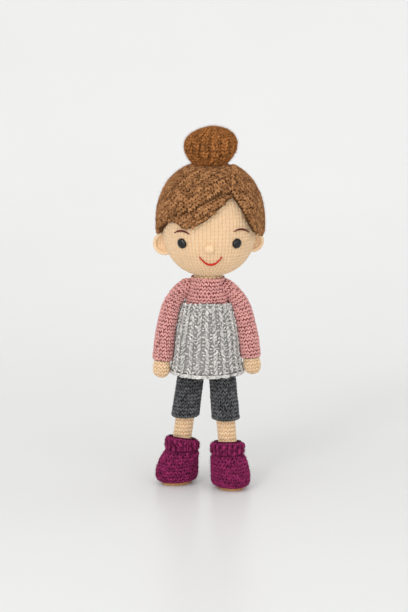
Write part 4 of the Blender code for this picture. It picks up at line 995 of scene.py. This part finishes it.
def make_leg(side):
    centre = leg_axis(side)
    leg_height = HIP_Z - ANKLE_Z
    skin = Surface(outline_of(LEG_SHARES, ANKLE_Z, leg_height, LEG_RADIUS, 60,
                              ((BOOT_TOP_Z - 6 * MM - ANKLE_Z) / leg_height, 1)), upright(centre))
    build = Build()
    shell(build, skin, 0, skin.length, -0.45 * MM, -1.1 * MM, 40, 40)
    knit(build, skin, 0.2 * MM, skin.length * 0.45, (2.5, 2.6), vee(2.5, 2.6, 0.57), -0.42 * MM, seed=41,
         count=17)
    fuzz(build, skin, 250, 0, skin.length * 0.42, 1.0, seed=42)
    finish_piece(build, f"{side}_leg_knit", SKIN_SET, "torso", [f"{side}_leg_cover"])

    trouser = Surface(outline_of(TROUSER_SHARES, TROUSER_Z, TROUSER_LENGTH, TROUSER_RADIUS), upright(centre))
    build = Build()
    shell(build, trouser, 0, trouser.length, -0.85 * MM, -1.5 * MM, 56, 40)
    knit(build, trouser, 0, trouser.length, (2.6, 2.5), vee(2.6, 2.5, 0.56, 0.6), -0.5 * MM,
         seed=43 + SIGNS[side], count=22, wobble=0.07)
    fuzz(build, trouser, 1500, 0, trouser.length, 1.2, seed=45)
    finish_piece(build, f"{side}_trouser_knit", CHARCOAL_SET, "torso",
                 [f"{side}_trouser_leg"])


def make_seat():
    place = oval(body_axis, SEAT_DEPTH_SHARES, SEAT_Z, SEAT_HEIGHT)
    seat = Surface(outline_of(SEAT_SHARES, SEAT_Z, SEAT_HEIGHT, SEAT_HALF_WIDTH), place)
    under = Surface(((SEAT_Z + 0.3 * MM, 0.5 * MM), (SEAT_Z + 0.3 * MM, SEAT_HALF_WIDTH * 0.8)), place)
    build = Build()
    shell(build, seat, 0, seat.length, -0.6 * MM, -1.5 * MM, 80, 20)
    shell(build, under, 0, under.length, -0.1 * MM, -1.2 * MM, 80, 8)
    knit(build, seat, 0, seat.length, (2.6, 2.4), vee(2.6, 2.4, 0.55, 0.6), -0.5 * MM, seed=47, count=36,
         wobble=0.07)
    finish_piece(build, "trouser_seat_knit", CHARCOAL_SET, "torso", ["trouser_seat"])


def make_boot(side):
    sign = SIGNS[side]
    outline = outline_of(BOOT_SHARES, BOOT_Z, BOOT_HEIGHT, BOOT_HALF_WIDTH, 70, (0, 0.72))
    bottom = np.stack((np.full(12, BOOT_Z), np.linspace(0.4 * MM, outline[0][1], 13)[:-1]), axis=1)
    boot = Surface(np.concatenate((bottom, outline)), foot_place(side, boot_shape))
    edge = outline[0][1] - 0.4 * MM
    build = Build()
    shell(build, boot, 0, boot.length - 0.5 * MM, -0.6 * MM, -1.5 * MM, 64, 44)
    knit(build, boot, edge - 1.4 * MM, boot.length - 0.6 * MM, (2.6, 2.15), vee(2.6, 2.15, 0.62, 0.5),
         lambda v, _p: (-0.55 + 0.9 * np.exp(-((boot.length - v) / (2.6 * MM)) ** 2)) * MM, seed=51 + sign,
         count=lambda v: 2 * fitting(boot.girth(max(v, edge + 2 * MM)), 5.2, 6), wobble=0.1)
    fuzz(build, boot, 4500, edge, boot.length, 1.6, seed=52)
    finish_piece(build, f"{side}_boot_knit", PLUM_SET, "torso", [f"{side}_boot"])

    cuff_in, cuff_top = BOOT_HALF_WIDTH * BOOT_SHARES[-1][1] + GAP, CUFF_Z + CUFF_HEIGHT
    cuff_out, fold = cuff_in + CUFF_WALL, CUFF_WALL / 3
    place = cuff_place(side)
    cuff = Surface(((CUFF_Z, cuff_out), (CUFF_Z + CUFF_HEIGHT / 2, cuff_out + fold / 2),
                    (cuff_top - fold, cuff_out), (cuff_top, cuff_in + CUFF_WALL / 2)), place)
    build = Build()
    shell(build, cuff, 0, cuff.length, -0.7 * MM, -1.6 * MM, 96, 14)
    low, high = 0.2 * MM, cuff.length - 0.6 * MM
    knit(build, cuff, low, high, (3.4, 4.4), lobe(5.2, 1.05, 8), -0.5 * MM, seed=53 + sign, count=CUFF_RIBS,
         wobble=0.1)
    knit(build, cuff, low, high, (3.4, 3.0), lobe(3.4, 0.7), -1.05 * MM, seed=54, count=CUFF_RIBS, start=0.5,
         wobble=0.06)
    rim = 2 * CUFF_RIBS
    sew(build, cuff, turn_shares(rim), cuff.length - 0.5 * MM, 1 / rim, 2.4 * MM, (1.6, 2.4), lobe(2.3, 0.75),
        -0.4 * MM, seed=55, turn=1.15, wobble=0.06)
    leg = LEG_RADIUS * float(table(LEG_SHARES, 0.25))
    lip = Surface(((cuff_top - 0.1 * MM, cuff_in + CUFF_WALL * 0.7),
                   (cuff_top + 0.3 * MM, cuff_in + 0.1 * MM),
                   (cuff_top - 0.1 * MM, (cuff_in + leg) / 2),
                   (cuff_top - 1.2 * MM, leg + 0.2 * MM)), place)
    shell(build, lip, 0, lip.length, -0.3 * MM, -1.1 * MM, 72, 8)
    knit(build, lip, 0.1 * MM, lip.length, (2.0, 2.0), lobe(2.9, 0.75), -0.25 * MM, seed=57,
         count=CUFF_RIBS + 6, turn=0.2, wobble=0.1)
    fuzz(build, lip, 700, 0, lip.length, 1.4, seed=58)
    fuzz(build, cuff, 2600, 0, cuff.length, 1.6, seed=56)
    finish_piece(build, f"{side}_cuff_knit", PLUM_SET, "torso", [f"{side}_boot_cuff"])

    bevel, nick = SOLE_THICK / 4, 0.2 * MM
    sole = Surface([(0, nick), (0, SOLE_HALF_WIDTH - bevel), (0.3 * bevel, SOLE_HALF_WIDTH - 0.3 * bevel),
                    (bevel, SOLE_HALF_WIDTH), (SOLE_THICK - nick, SOLE_HALF_WIDTH),
                    (SOLE_THICK, SOLE_HALF_WIDTH - nick), (SOLE_THICK, nick)], None)
    fine = sole.size(np.sort(np.concatenate((sole.lengths, np.linspace(0, sole.length, 20)))))
    place = foot_place(side, lambda station: (SOLE_STRETCH, BOOT_TOE))
    turned_piece(f"{side}_sole_leather", np.stack(fine, axis=1), place, sole_leather, "torso",
                 [f"{side}_sole"], 72)


# Neck, head and face


def make_neck():
    low, high = COLLAR_Z - NECK_TUCK, COLLAR_Z + NECK_SHOWN + NECK_RISE
    neck = Surface(((low, NECK_RADIUS), ((low + high) / 2, NECK_RADIUS - GAP / 2), (high, NECK_RADIUS)),
                   upright(neck_axis))
    build = Build()
    shell(build, neck, 0, neck.length, -0.45 * MM, -1.3 * MM, 48, 10)
    knit(build, neck, 0.4 * MM, neck.length, (2.5, 2.6), vee(2.5, 2.6, 0.56), -0.2 * MM, seed=61, count=20)
    finish_piece(build, "neck_knit", SKIN_SET, "neck", ["neck_cover"])


def head_outline(first_radius, count=120):
    start = -math.acos((first_radius / HEAD_HALF_WIDTH) ** (HEAD_POWER / 2))
    angle = np.linspace(start, math.pi / 2 - 0.01, count)
    rise = np.copysign(np.abs(np.sin(angle)) ** (2 / HEAD_POWER), np.sin(angle))
    tall = np.where(rise > 0, HEAD_UPPER, HEAD_LOWER)
    radius = HEAD_HALF_WIDTH * np.abs(np.cos(angle)) ** (2 / HEAD_POWER)
    return np.stack((HEAD_Z + tall * rise, radius), axis=1)


def seen_hem(azimuth):
    """Height share of the lowest edge of the hair over each azimuth."""
    low = table(CAP_HEM_SHARES, azimuth)
    for start, end, shares in ((FRINGE_START, FRINGE_END, FRINGE_HEM_SHARES),
                               (PANEL_START, PANEL_END, PANEL_HEM_SHARES)):
        over = (azimuth > start) & (azimuth < end)
        low = np.where(over, np.minimum(low, table(shares, azimuth)), low)
    return low


def make_head():
    skin = Surface(head_outline(NECK_HOLE_RADIUS - 1.0 * MM), head_place)
    eyes = [on_head(sign * EYE_SPREAD, EYE_DROP, 0.0)[0] for sign in SIGNS.values()]

    def bare(p):
        """Which points of the face have no hair and no eye over them."""
        azimuth, height = hair_spot(p)
        clear = [np.linalg.norm(p - eye, axis=1) > 3.3 * MM for eye in eyes]
        return (height < seen_hem(azimuth) + 0.07) & np.all(clear, axis=0)

    most = fitting(skin.girth(skin.length * 0.45), 2.5)

    def count(v):
        share = skin.girth(v) / (TURN * HEAD_HALF_WIDTH)
        return most if share > 0.78 else 6 * max(int(round(most * share * 1.08 / 6)), 3)

    build = Build()
    shell(build, skin, 0, skin.length, -0.15 * MM, -1.5 * MM, 120, 70)
    knit(build, skin, 0.3 * MM, skin.length * 0.86, (2.5, 2.6), vee(2.5, 3.3, 0.64, 0.2, 0.27), -0.42 * MM,
         seed=62, count=count, keep=bare, wobble=0.018)
    fuzz(build, skin, 1500, 0, skin.length * 0.8, 1.0, seed=63, thick=0.018, keep=bare)
    finish_piece(build, "head_knit", FACE_SET, "head", ["head_cover"])


def face_stitch(name, node, thread, t, x, drop, lift, thick):
    """An embroidered line on the face, thinner towards its ends, where t is -1 and 1."""
    line, normals = on_head(x, drop, lift)
    build = Build()
    ropes(build, line[None], thick * np.clip(1.5 * (1.05 - np.abs(t)), 0.4, 1) ** 0.5, normals[None], sides=8)
    finish_piece(build, name, [thread], "head", [node])


def make_face():
    for side, sign in SIGNS.items():
        seat, normal = on_head(sign * EYE_SPREAD, EYE_DROP, GAP)
        heights = np.linspace(0, 1, 24)
        dome = np.stack((EYE_DOME * heights, 1.06 * EYE_RADIUS * table(EYE_SHARES, heights)), axis=1)
        shank = ((-EYE_SHANK_LENGTH, EYE_SHANK_RADIUS), (-0.2 * MM, EYE_SHANK_RADIUS),
                 (-0.2 * MM, EYE_RADIUS * 0.97))
        turned_piece(f"{side}_eye_bead", np.concatenate((shank, dome)), about(seat, normal), eye_plastic,
                     "head", [f"{side}_eye"], 64)
        t = np.linspace(-1, 1, 25)
        face_stitch(f"{side}_brow_stitch", f"{side}_eyebrow", brow_thread, t,
                    BROW_SHIFT + sign * BROW_SPREAD + BROW_HALF_WIDTH * t,
                    BROW_DROPS[side] - BROW_ARCH * (1 - t**2) + BROW_SLOPES[side] * t, 0.75 * MM, 0.6 * MM)
    t = np.linspace(-1, 1, 41)
    face_stitch("mouth_stitch", "mouth", mouth_thread, t, MOUTH_SHIFT + MOUTH_HALF_WIDTH * t,
                MOUTH_DROP + MOUTH_SAG * (1 - t**2), 0.7 * MM, 0.64 * MM)

    seat, normal = on_head(0, NOSE_DROP, GAP)
    t = np.linspace(-0.25, 0.995, 24)
    width = np.where(t < 0, 1, table(NOSE_SHARES, t))
    nose = Surface(np.stack((1.3 * NOSE_RELIEF * t, 1.08 * NOSE_HALF_HEIGHT * width), axis=1),
                   about(seat, normal, NOSE_HALF_WIDTH / NOSE_HALF_HEIGHT))
    build = Build()
    shell(build, nose, 0, nose.length - 0.05 * MM, -0.1 * MM, -0.7 * MM, 32, 14, 0.9)
    knit(build, nose, 0.4 * MM, nose.length - 0.1 * MM, (1.9, 1.5), vee(1.9, 1.5, 0.36, 0.2), -0.24 * MM,
         seed=64)
    finish_piece(build, "nose_knit", EAR_SET, "head", ["nose"])


class Inside(Surface):
    """The same skin seen from within."""

    def out(self, u, v):
        return -super().out(u, v)


def make_ear(side):
    sign = SIGNS[side]
    radius, tuck, drop = EARS[side]
    seat = CENTRE + np.array([sign * (HEAD_HALF_WIDTH - tuck), EAR_DEPTH / 2, -drop])
    place = about(seat, (sign * 0.15, -1, 0))
    span = (0.004, 1)
    outer = Surface(outline_of(EAR_SHARES, 0, EAR_DEPTH, radius, 40, span), place)
    inner = Inside(outline_of(EAR_SHARES, EAR_WALL, EAR_DEPTH - EAR_WALL, radius - EAR_WALL, 40, span), place)
    build = Build()
    shell(build, outer, 0, outer.length, -0.1 * MM, -1.2 * MM, 56, 16, 0.9)
    knit(build, outer, 0.6 * MM, outer.length + 0.2 * MM, (2.2, 2.4), vee(2.2, 2.4, 0.62), -0.42 * MM,
         seed=65 + sign, keep=outside_head)
    shell(build, inner, 0, inner.length, 0, -0.9 * MM, 48, 14, 0.9)
    knit(build, inner, 0.6 * MM, inner.length, (2.0, 2.2), vee(2.0, 2.2, 0.5), -0.28 * MM,
         seed=67 + sign, keep=outside_head)
    fuzz(build, outer, 150, 0, outer.length, 0.9, seed=69, keep=lambda p: outside_head(p, 0))
    finish_piece(build, f"{side}_ear_knit", EAR_SET, "head", [f"{side}_ear"])


# Hair

swoop = Crown((-0.52, 0.35, 0.78))
sweep = Crown((0.78, 0.30, 0.55))


def patch_shell(build, azimuths, top, hem, outer, inner, rows, closed=False):
    """A sheet of hair between two heights, over a run of azimuths, closed over its edges."""
    t = np.linspace(0, 1, rows)[:, None]
    height = hair_height(hair_slope(top) * (1 - t) + hair_slope(hem) * t)
    many = len(azimuths)
    groups = [grid_faces(2 * rows, many, True, closed)]
    if not closed:
        k = np.arange(rows - 1)
        caps = np.stack((k, k + 1, 2 * rows - 2 - k, 2 * rows - 1 - k), axis=1) * many
        groups += [caps, caps + many - 1]
    lift = np.repeat((outer, inner), rows)[:, None]
    build.add(on_hair(azimuths, np.concatenate((height, height[::-1])), lift), groups, CLOTH, shade=0.5)


def part_height(azimuth):
    """Height share of the parting, an upright line in the front view, over each azimuth."""
    size = np.minimum(PART_SHIFT / (HAIR_HALF_WIDTH * np.sin(np.radians(azimuth))), 1)
    height = (HEAD_LOWER + HAIR_UPPER * (1 - size**HAIR_POWER) ** (1 / HAIR_POWER)) / HAIR_RISE
    return np.maximum(np.minimum(height, PANEL_TOP_SHARE), table(PANEL_HEM_SHARES, azimuth) + 0.035)


def from_fold(p):
    """Height in millimetres over the fold that the fringe hangs from, and where there is a fold."""
    azimuth, height = hair_spot(p)
    rise = (height - table(CAP_HEM_SHARES, azimuth)) * HAIR_RISE / MM
    return rise, np.clip((azimuth - FRINGE_START - 12) / 12, 0, 1) * (azimuth < FRINGE_END)


def above_fold(_v, p):
    rise, there = from_fold(p)
    return (-0.5 + 0.55 * there * np.exp(-((rise - 1.5) / 2.2) ** 2)) * MM


def below_fold(_v, p):
    rise, there = from_fold(p)
    return (-0.45 - 0.8 * there * np.exp(-(rise / 1.9) ** 2)) * MM - FRINGE_STEP


def under_panel(p, more=0.0):
    """Which points of the hair lie inside the side panel's outline, moved in by a length."""
    azimuth, height = hair_spot(p)
    share = more / HAIR_RISE
    inside = (azimuth > PANEL_START - 1) & (azimuth < PANEL_END) & (p[:, 0] - HEAD_X > PART_SHIFT + more)
    return inside & (height < PANEL_TOP_SHARE - share) & (height > table(PANEL_HEM_SHARES, azimuth) + share)


def on_cap(p):
    azimuth, height = hair_spot(p)
    beside_bun = (p[:, 2] <= HEAD_Z) | (np.hypot(p[:, 0] - HEAD_X, p[:, 1]) > BUN_BASE_RADIUS - 1.5 * MM)
    return (height > table(CAP_HEM_SHARES, azimuth) + 0.012) & ~under_panel(p) & beside_bun


def on_fringe(p):
    azimuth, height = hair_spot(p)
    inside = (azimuth > FRINGE_START) & (azimuth < FRINGE_END + 2)
    return (inside & (height > table(FRINGE_HEM_SHARES, azimuth) + 0.014)
            & (height < table(CAP_HEM_SHARES, azimuth) + 0.012))


def make_hair():
    size, stitch = (2.3, 2.35), vee(2.3, 2.35, 0.62, 0.55)
    low, last, fine = 1 * MM, swoop.length - 2 * MM, 0.02
    azimuths = np.arange(-180, 180, 2.5)
    build = Build()
    patch_shell(build, azimuths, 0.999, table(CAP_HEM_SHARES, azimuths) + 0.006, -0.75 * MM, -2.9 * MM, 40,
                closed=True)
    knit(build, swoop, 1.5 * MM, last, size, stitch, above_fold, seed=71, keep=on_cap, wobble=0.1)
    fuzz(build, swoop, 16000, low, swoop.length, 2.0, seed=72, thick=fine, keep=on_cap)
    finish_piece(build, "hair_cap_knit", HAIR_SET, "head", ["hair_cap"])

    azimuths = np.linspace(FRINGE_START, FRINGE_END, 60)
    build = Build()
    patch_shell(build, azimuths, table(CAP_HEM_SHARES, azimuths), table(FRINGE_HEM_SHARES, azimuths) + 0.008,
                -FRINGE_STEP - 0.7 * MM, -3.4 * MM, 10)
    knit(build, swoop, 0.3 * MM, last, size, stitch, below_fold, seed=73, keep=on_fringe, wobble=0.09)
    fuzz(build, swoop, 14000, low, swoop.length, 1.5, seed=74, thick=fine, keep=on_fringe,
         lift=-FRINGE_STEP)
    finish_piece(build, "fringe_knit", HAIR_SET, "head", ["hair_fringe"])

    azimuths = np.linspace(PANEL_START, PANEL_END, 70)
    build = Build()
    patch_shell(build, azimuths, part_height(azimuths) - 0.008, table(PANEL_HEM_SHARES, azimuths) + 0.008,
                PANEL_THICK - 0.7 * MM, -0.3 * MM, 30)
    knit(build, sweep, 1.2 * MM, last, size, stitch, PANEL_THICK - 0.45 * MM, seed=75,
         keep=lambda p: under_panel(p, 0.8 * MM), wobble=0.1)
    edge = np.linspace(PANEL_START, 84, 60)
    seam = on_hair(edge, part_height(edge), PANEL_THICK - 0.5 * MM)
    strands = np.array([seam[k:k + 7] for k in range(0, 53, 4)])
    radii = 0.72 * MM * np.array([0.45, 0.85, 1, 1, 1, 0.85, 0.45])
    ropes(build, strands, radii, unit(strands - CENTRE), seed=77)
    fuzz(build, sweep, 18000, low, sweep.length, 1.9, seed=76, thick=fine,
         keep=lambda p: under_panel(p, 0.3 * MM), lift=PANEL_THICK)
    finish_piece(build, "side_panel_knit", HAIR_SET, "head", ["hair_side_panel"])


def make_bun():
    base = (1 - (BUN_BASE_RADIUS / HAIR_HALF_WIDTH) ** HAIR_POWER) ** (1 / HAIR_POWER)
    start = HEAD_Z + HAIR_UPPER * base + GAP
    outline = outline_of(BUN_SHARES, start, BUN_HEIGHT, BUN_HALF_WIDTH - 0.5 * MM, 90)
    outline[-1, 1] = 0.3 * MM

    def place(station, radius, angle):
        share = np.clip(radius / BUN_HALF_WIDTH, 0, 1)
        crease = 1 - np.abs(np.sin(BUN_FOLDS * angle / 2 + 0.5 * np.sin(3 * angle + 1)))
        r = radius + BUN_FOLD_DEPTH * share * (0.15 - 3.0 * crease**2)
        rise = np.clip(station - start, 0, None) / BUN_HEIGHT
        slope = 1.3 * MM * rise**3 * (1 - 0.9 * share * np.cos(angle))
        return stack(HEAD_X + BUN_LEAN * rise + r * np.cos(angle), r * np.sin(angle), station - slope)

    def count(v):
        return 2 * BUN_FOLDS if bun.size(v)[1] > 0.75 * BUN_HALF_WIDTH else fitting(bun.girth(v), 2.3)

    bun = Surface(outline, place)
    build = Build()
    shell(build, bun, 0, bun.length - 0.5 * MM, -0.7 * MM, -1.9 * MM, 192, 40)
    knit(build, bun, 0.6 * MM, bun.length - 0.6 * MM, (2.2, 2.3), vee(2.2, 2.3, 0.52, 0.6), -0.3 * MM,
         seed=84, count=count, wobble=0.09)
    rng = np.random.default_rng(81)
    strands, many = 5 * BUN_FOLDS, 16
    ends = np.abs(np.linspace(-1, 1, many))
    paths, normals, shade = [], [], []
    for k in range(strands):
        for low in np.arange(-0.1, 0.95, 0.16):
            v = bun.length * np.clip(low + rng.uniform(-0.05, 0.05) + np.linspace(0, 0.3, many), 0.0, 0.985)
            radius = np.maximum(bun.size(v)[1], 1.5 * MM)
            if rng.random() > radius.mean() / BUN_HALF_WIDTH + 0.15:
                continue
            u = (k + rng.normal(0, 0.3)) / strands
            u = u + 0.35 * MM * np.sin(rng.uniform(0, TURN) + 900 * v) / (TURN * radius)
            n = (-0.25 + rng.uniform(-0.3, 0.15) + 0.25 * np.sin(rng.uniform(0, TURN) + 700 * v)) * MM
            n = n - 0.7 * MM * ends**3
            paths.append(bun.at(u, v, n))
            normals.append(bun.normal(u, v))
            # Painted shade: strands that lie deeper get a darker shade
            shade.append(np.clip(0.9 + n / MM, 0.1, 1))
    radii = 0.34 * MM * np.clip(2.2 * (1.05 - ends), 0.3, 1)
    ropes(build, paths, radii, normals, sides=5, seed=83, flat=0.8, shade=shade)
    fuzz(build, bun, 22000, 0, bun.length, 2.0, seed=82, tangle=1.0)
    finish_piece(build, "bun_knit", BUN_SET, "head", ["hair_bun"])


# Filling and hidden parts


def make_filling(node, body, material=fibre_fill):
    """A soft filling: the solid's form made smooth and a little uneven."""
    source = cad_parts[node]
    mesh = source.data.copy()
    mesh.transform(source.matrix_world)
    mesh.materials.clear()
    mesh.materials.append(material)
    for polygon in mesh.polygons:
        polygon.material_index = 0
        polygon.use_smooth = True
    for vertex in mesh.vertices:
        x, y, z = (c / MM for c in vertex.co)
        wave = math.sin(0.9 * x + 1.3 * y) * math.sin(1.1 * y + 0.7 * z) * math.cos(0.8 * z + 0.5 * x)
        vertex.co -= vertex.normal * FILLING_ROOM * (0.6 + 0.5 * wave)
    obj = link(f"{node}_fill", mesh)
    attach(obj, body)
    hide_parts(node)


def make_inside():
    make_filling("torso_stuffing", "torso")
    make_filling("head_stuffing", "head")
    make_filling("bun_stuffing", "head")
    looks = {"neck_core": core_wood}
    for side in SIGNS:
        make_filling(f"{side}_arm_stuffing", f"{side}_arm")
        make_filling(f"{side}_leg_stuffing", "torso")
        # The feet inside the boots take the skin's darker cloth colour, which is painted shade
        make_filling(f"{side}_foot", "torso", SKIN_SET[CLOTH])
        looks[f"{side}_eye_washer"] = washer_plastic
        looks[f"{side}_insole"] = insole_board
        looks[f"{side}_arm_thread"] = joint_thread
    for node, material in looks.items():
        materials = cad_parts[node].data.materials
        materials.clear()
        materials.append(material)


# Studio


def aimed(name, data, place, aim):
    """A lamp or a camera at a place, turned to another."""
    obj = link(name, data)
    obj.location = place
    obj.rotation_euler = (Vector(aim) - Vector(place)).to_track_quat("-Z", "Y").to_euler()
    return obj


def make_studio():
    bend = np.linspace(0.04, math.pi / 2, 30)
    y = np.concatenate((np.linspace(-3.0, 0.35, 12), 0.35 + 2.4 * np.sin(bend), np.full(3, 2.75)))
    z = np.concatenate((np.zeros(12), 2.4 - 2.4 * np.cos(bend), np.linspace(2.6, 4.5, 3)))
    build = Build()
    build.add(stack(np.linspace(-3, 3, 8), y[:, None], z[:, None]), [grid_faces(len(y), 8)])
    paper = Look("paper_sweep", 0.34, Specular_IOR_Level=0.22)
    tone = paper.ramp(paper.noise(3.0, 2.0), (0.3, (0.79, 0.79, 0.785)), (0.7, (0.81, 0.81, 0.805)))
    paper.put(paper.shader, Base_Color=tone)
    build.piece("paper_sweep", [paper.material])

    world = bpy.data.worlds.new("studio")
    bpy.context.scene.world = world
    world.use_nodes = True
    sky = world.node_tree.nodes["Background"]
    sky.inputs["Color"].default_value = (1, 1, 1, 1)
    sky.inputs["Strength"].default_value = 0.74

    for name, place, aim, size, power in (
            ("key", (-0.7, -1.2, 1.15), (0, 0, 0.12), 1.8, 5.4),
            ("low", (-0.1, -1.5, 0.06), (0, 0, 0.14), 1.0, 6.6),
            ("spark", (-0.62, -1.15, 1.0), (0, 0, 0.16), 0.34, 4.0),
            ("fill", (1.0, -1.3, 0.75), (0, 0, 0.12), 1.2, 4.8),
            ("back", (0.1, 0.9, 1.3), (0.1, 2.1, 0.45), 1.8, 4.6),
            ("floor", (0.3, 0.6, 1.4), (0.3, 1.05, 0), 1.2, 1.9)):
        light = bpy.data.lights.new(name, "AREA")
        light.shape = "SQUARE"
        light.size = size
        light.energy = power
        aimed(name, light, place, aim)

    # A long lens from a little above, framed as the photograph is: 0.66 mm of the doll to a pixel
    tilt, distance, pixel, picture_height = math.radians(11), 1.7, 0.66 * MM, 612
    target = Vector((-2.8 * MM, 0, 120.4 * MM))
    camera = bpy.data.cameras.new("camera")
    camera.sensor_width = 36
    camera.lens = camera.sensor_width * distance / (picture_height * pixel)
    place = target + Vector((0, -math.cos(tilt), math.sin(tilt))) * distance
    bpy.context.scene.camera = aimed("camera", camera, place, target)
    bpy.context.scene.view_settings.view_transform = "Standard"


make_studio()
make_bodice()
make_skirt()
make_neck()
make_seat()
for side in SIGNS:
    make_arm(side)
    make_leg(side)
    make_boot(side)
    make_ear(side)
make_head()
make_face()
make_hair()
make_bun()
make_inside()
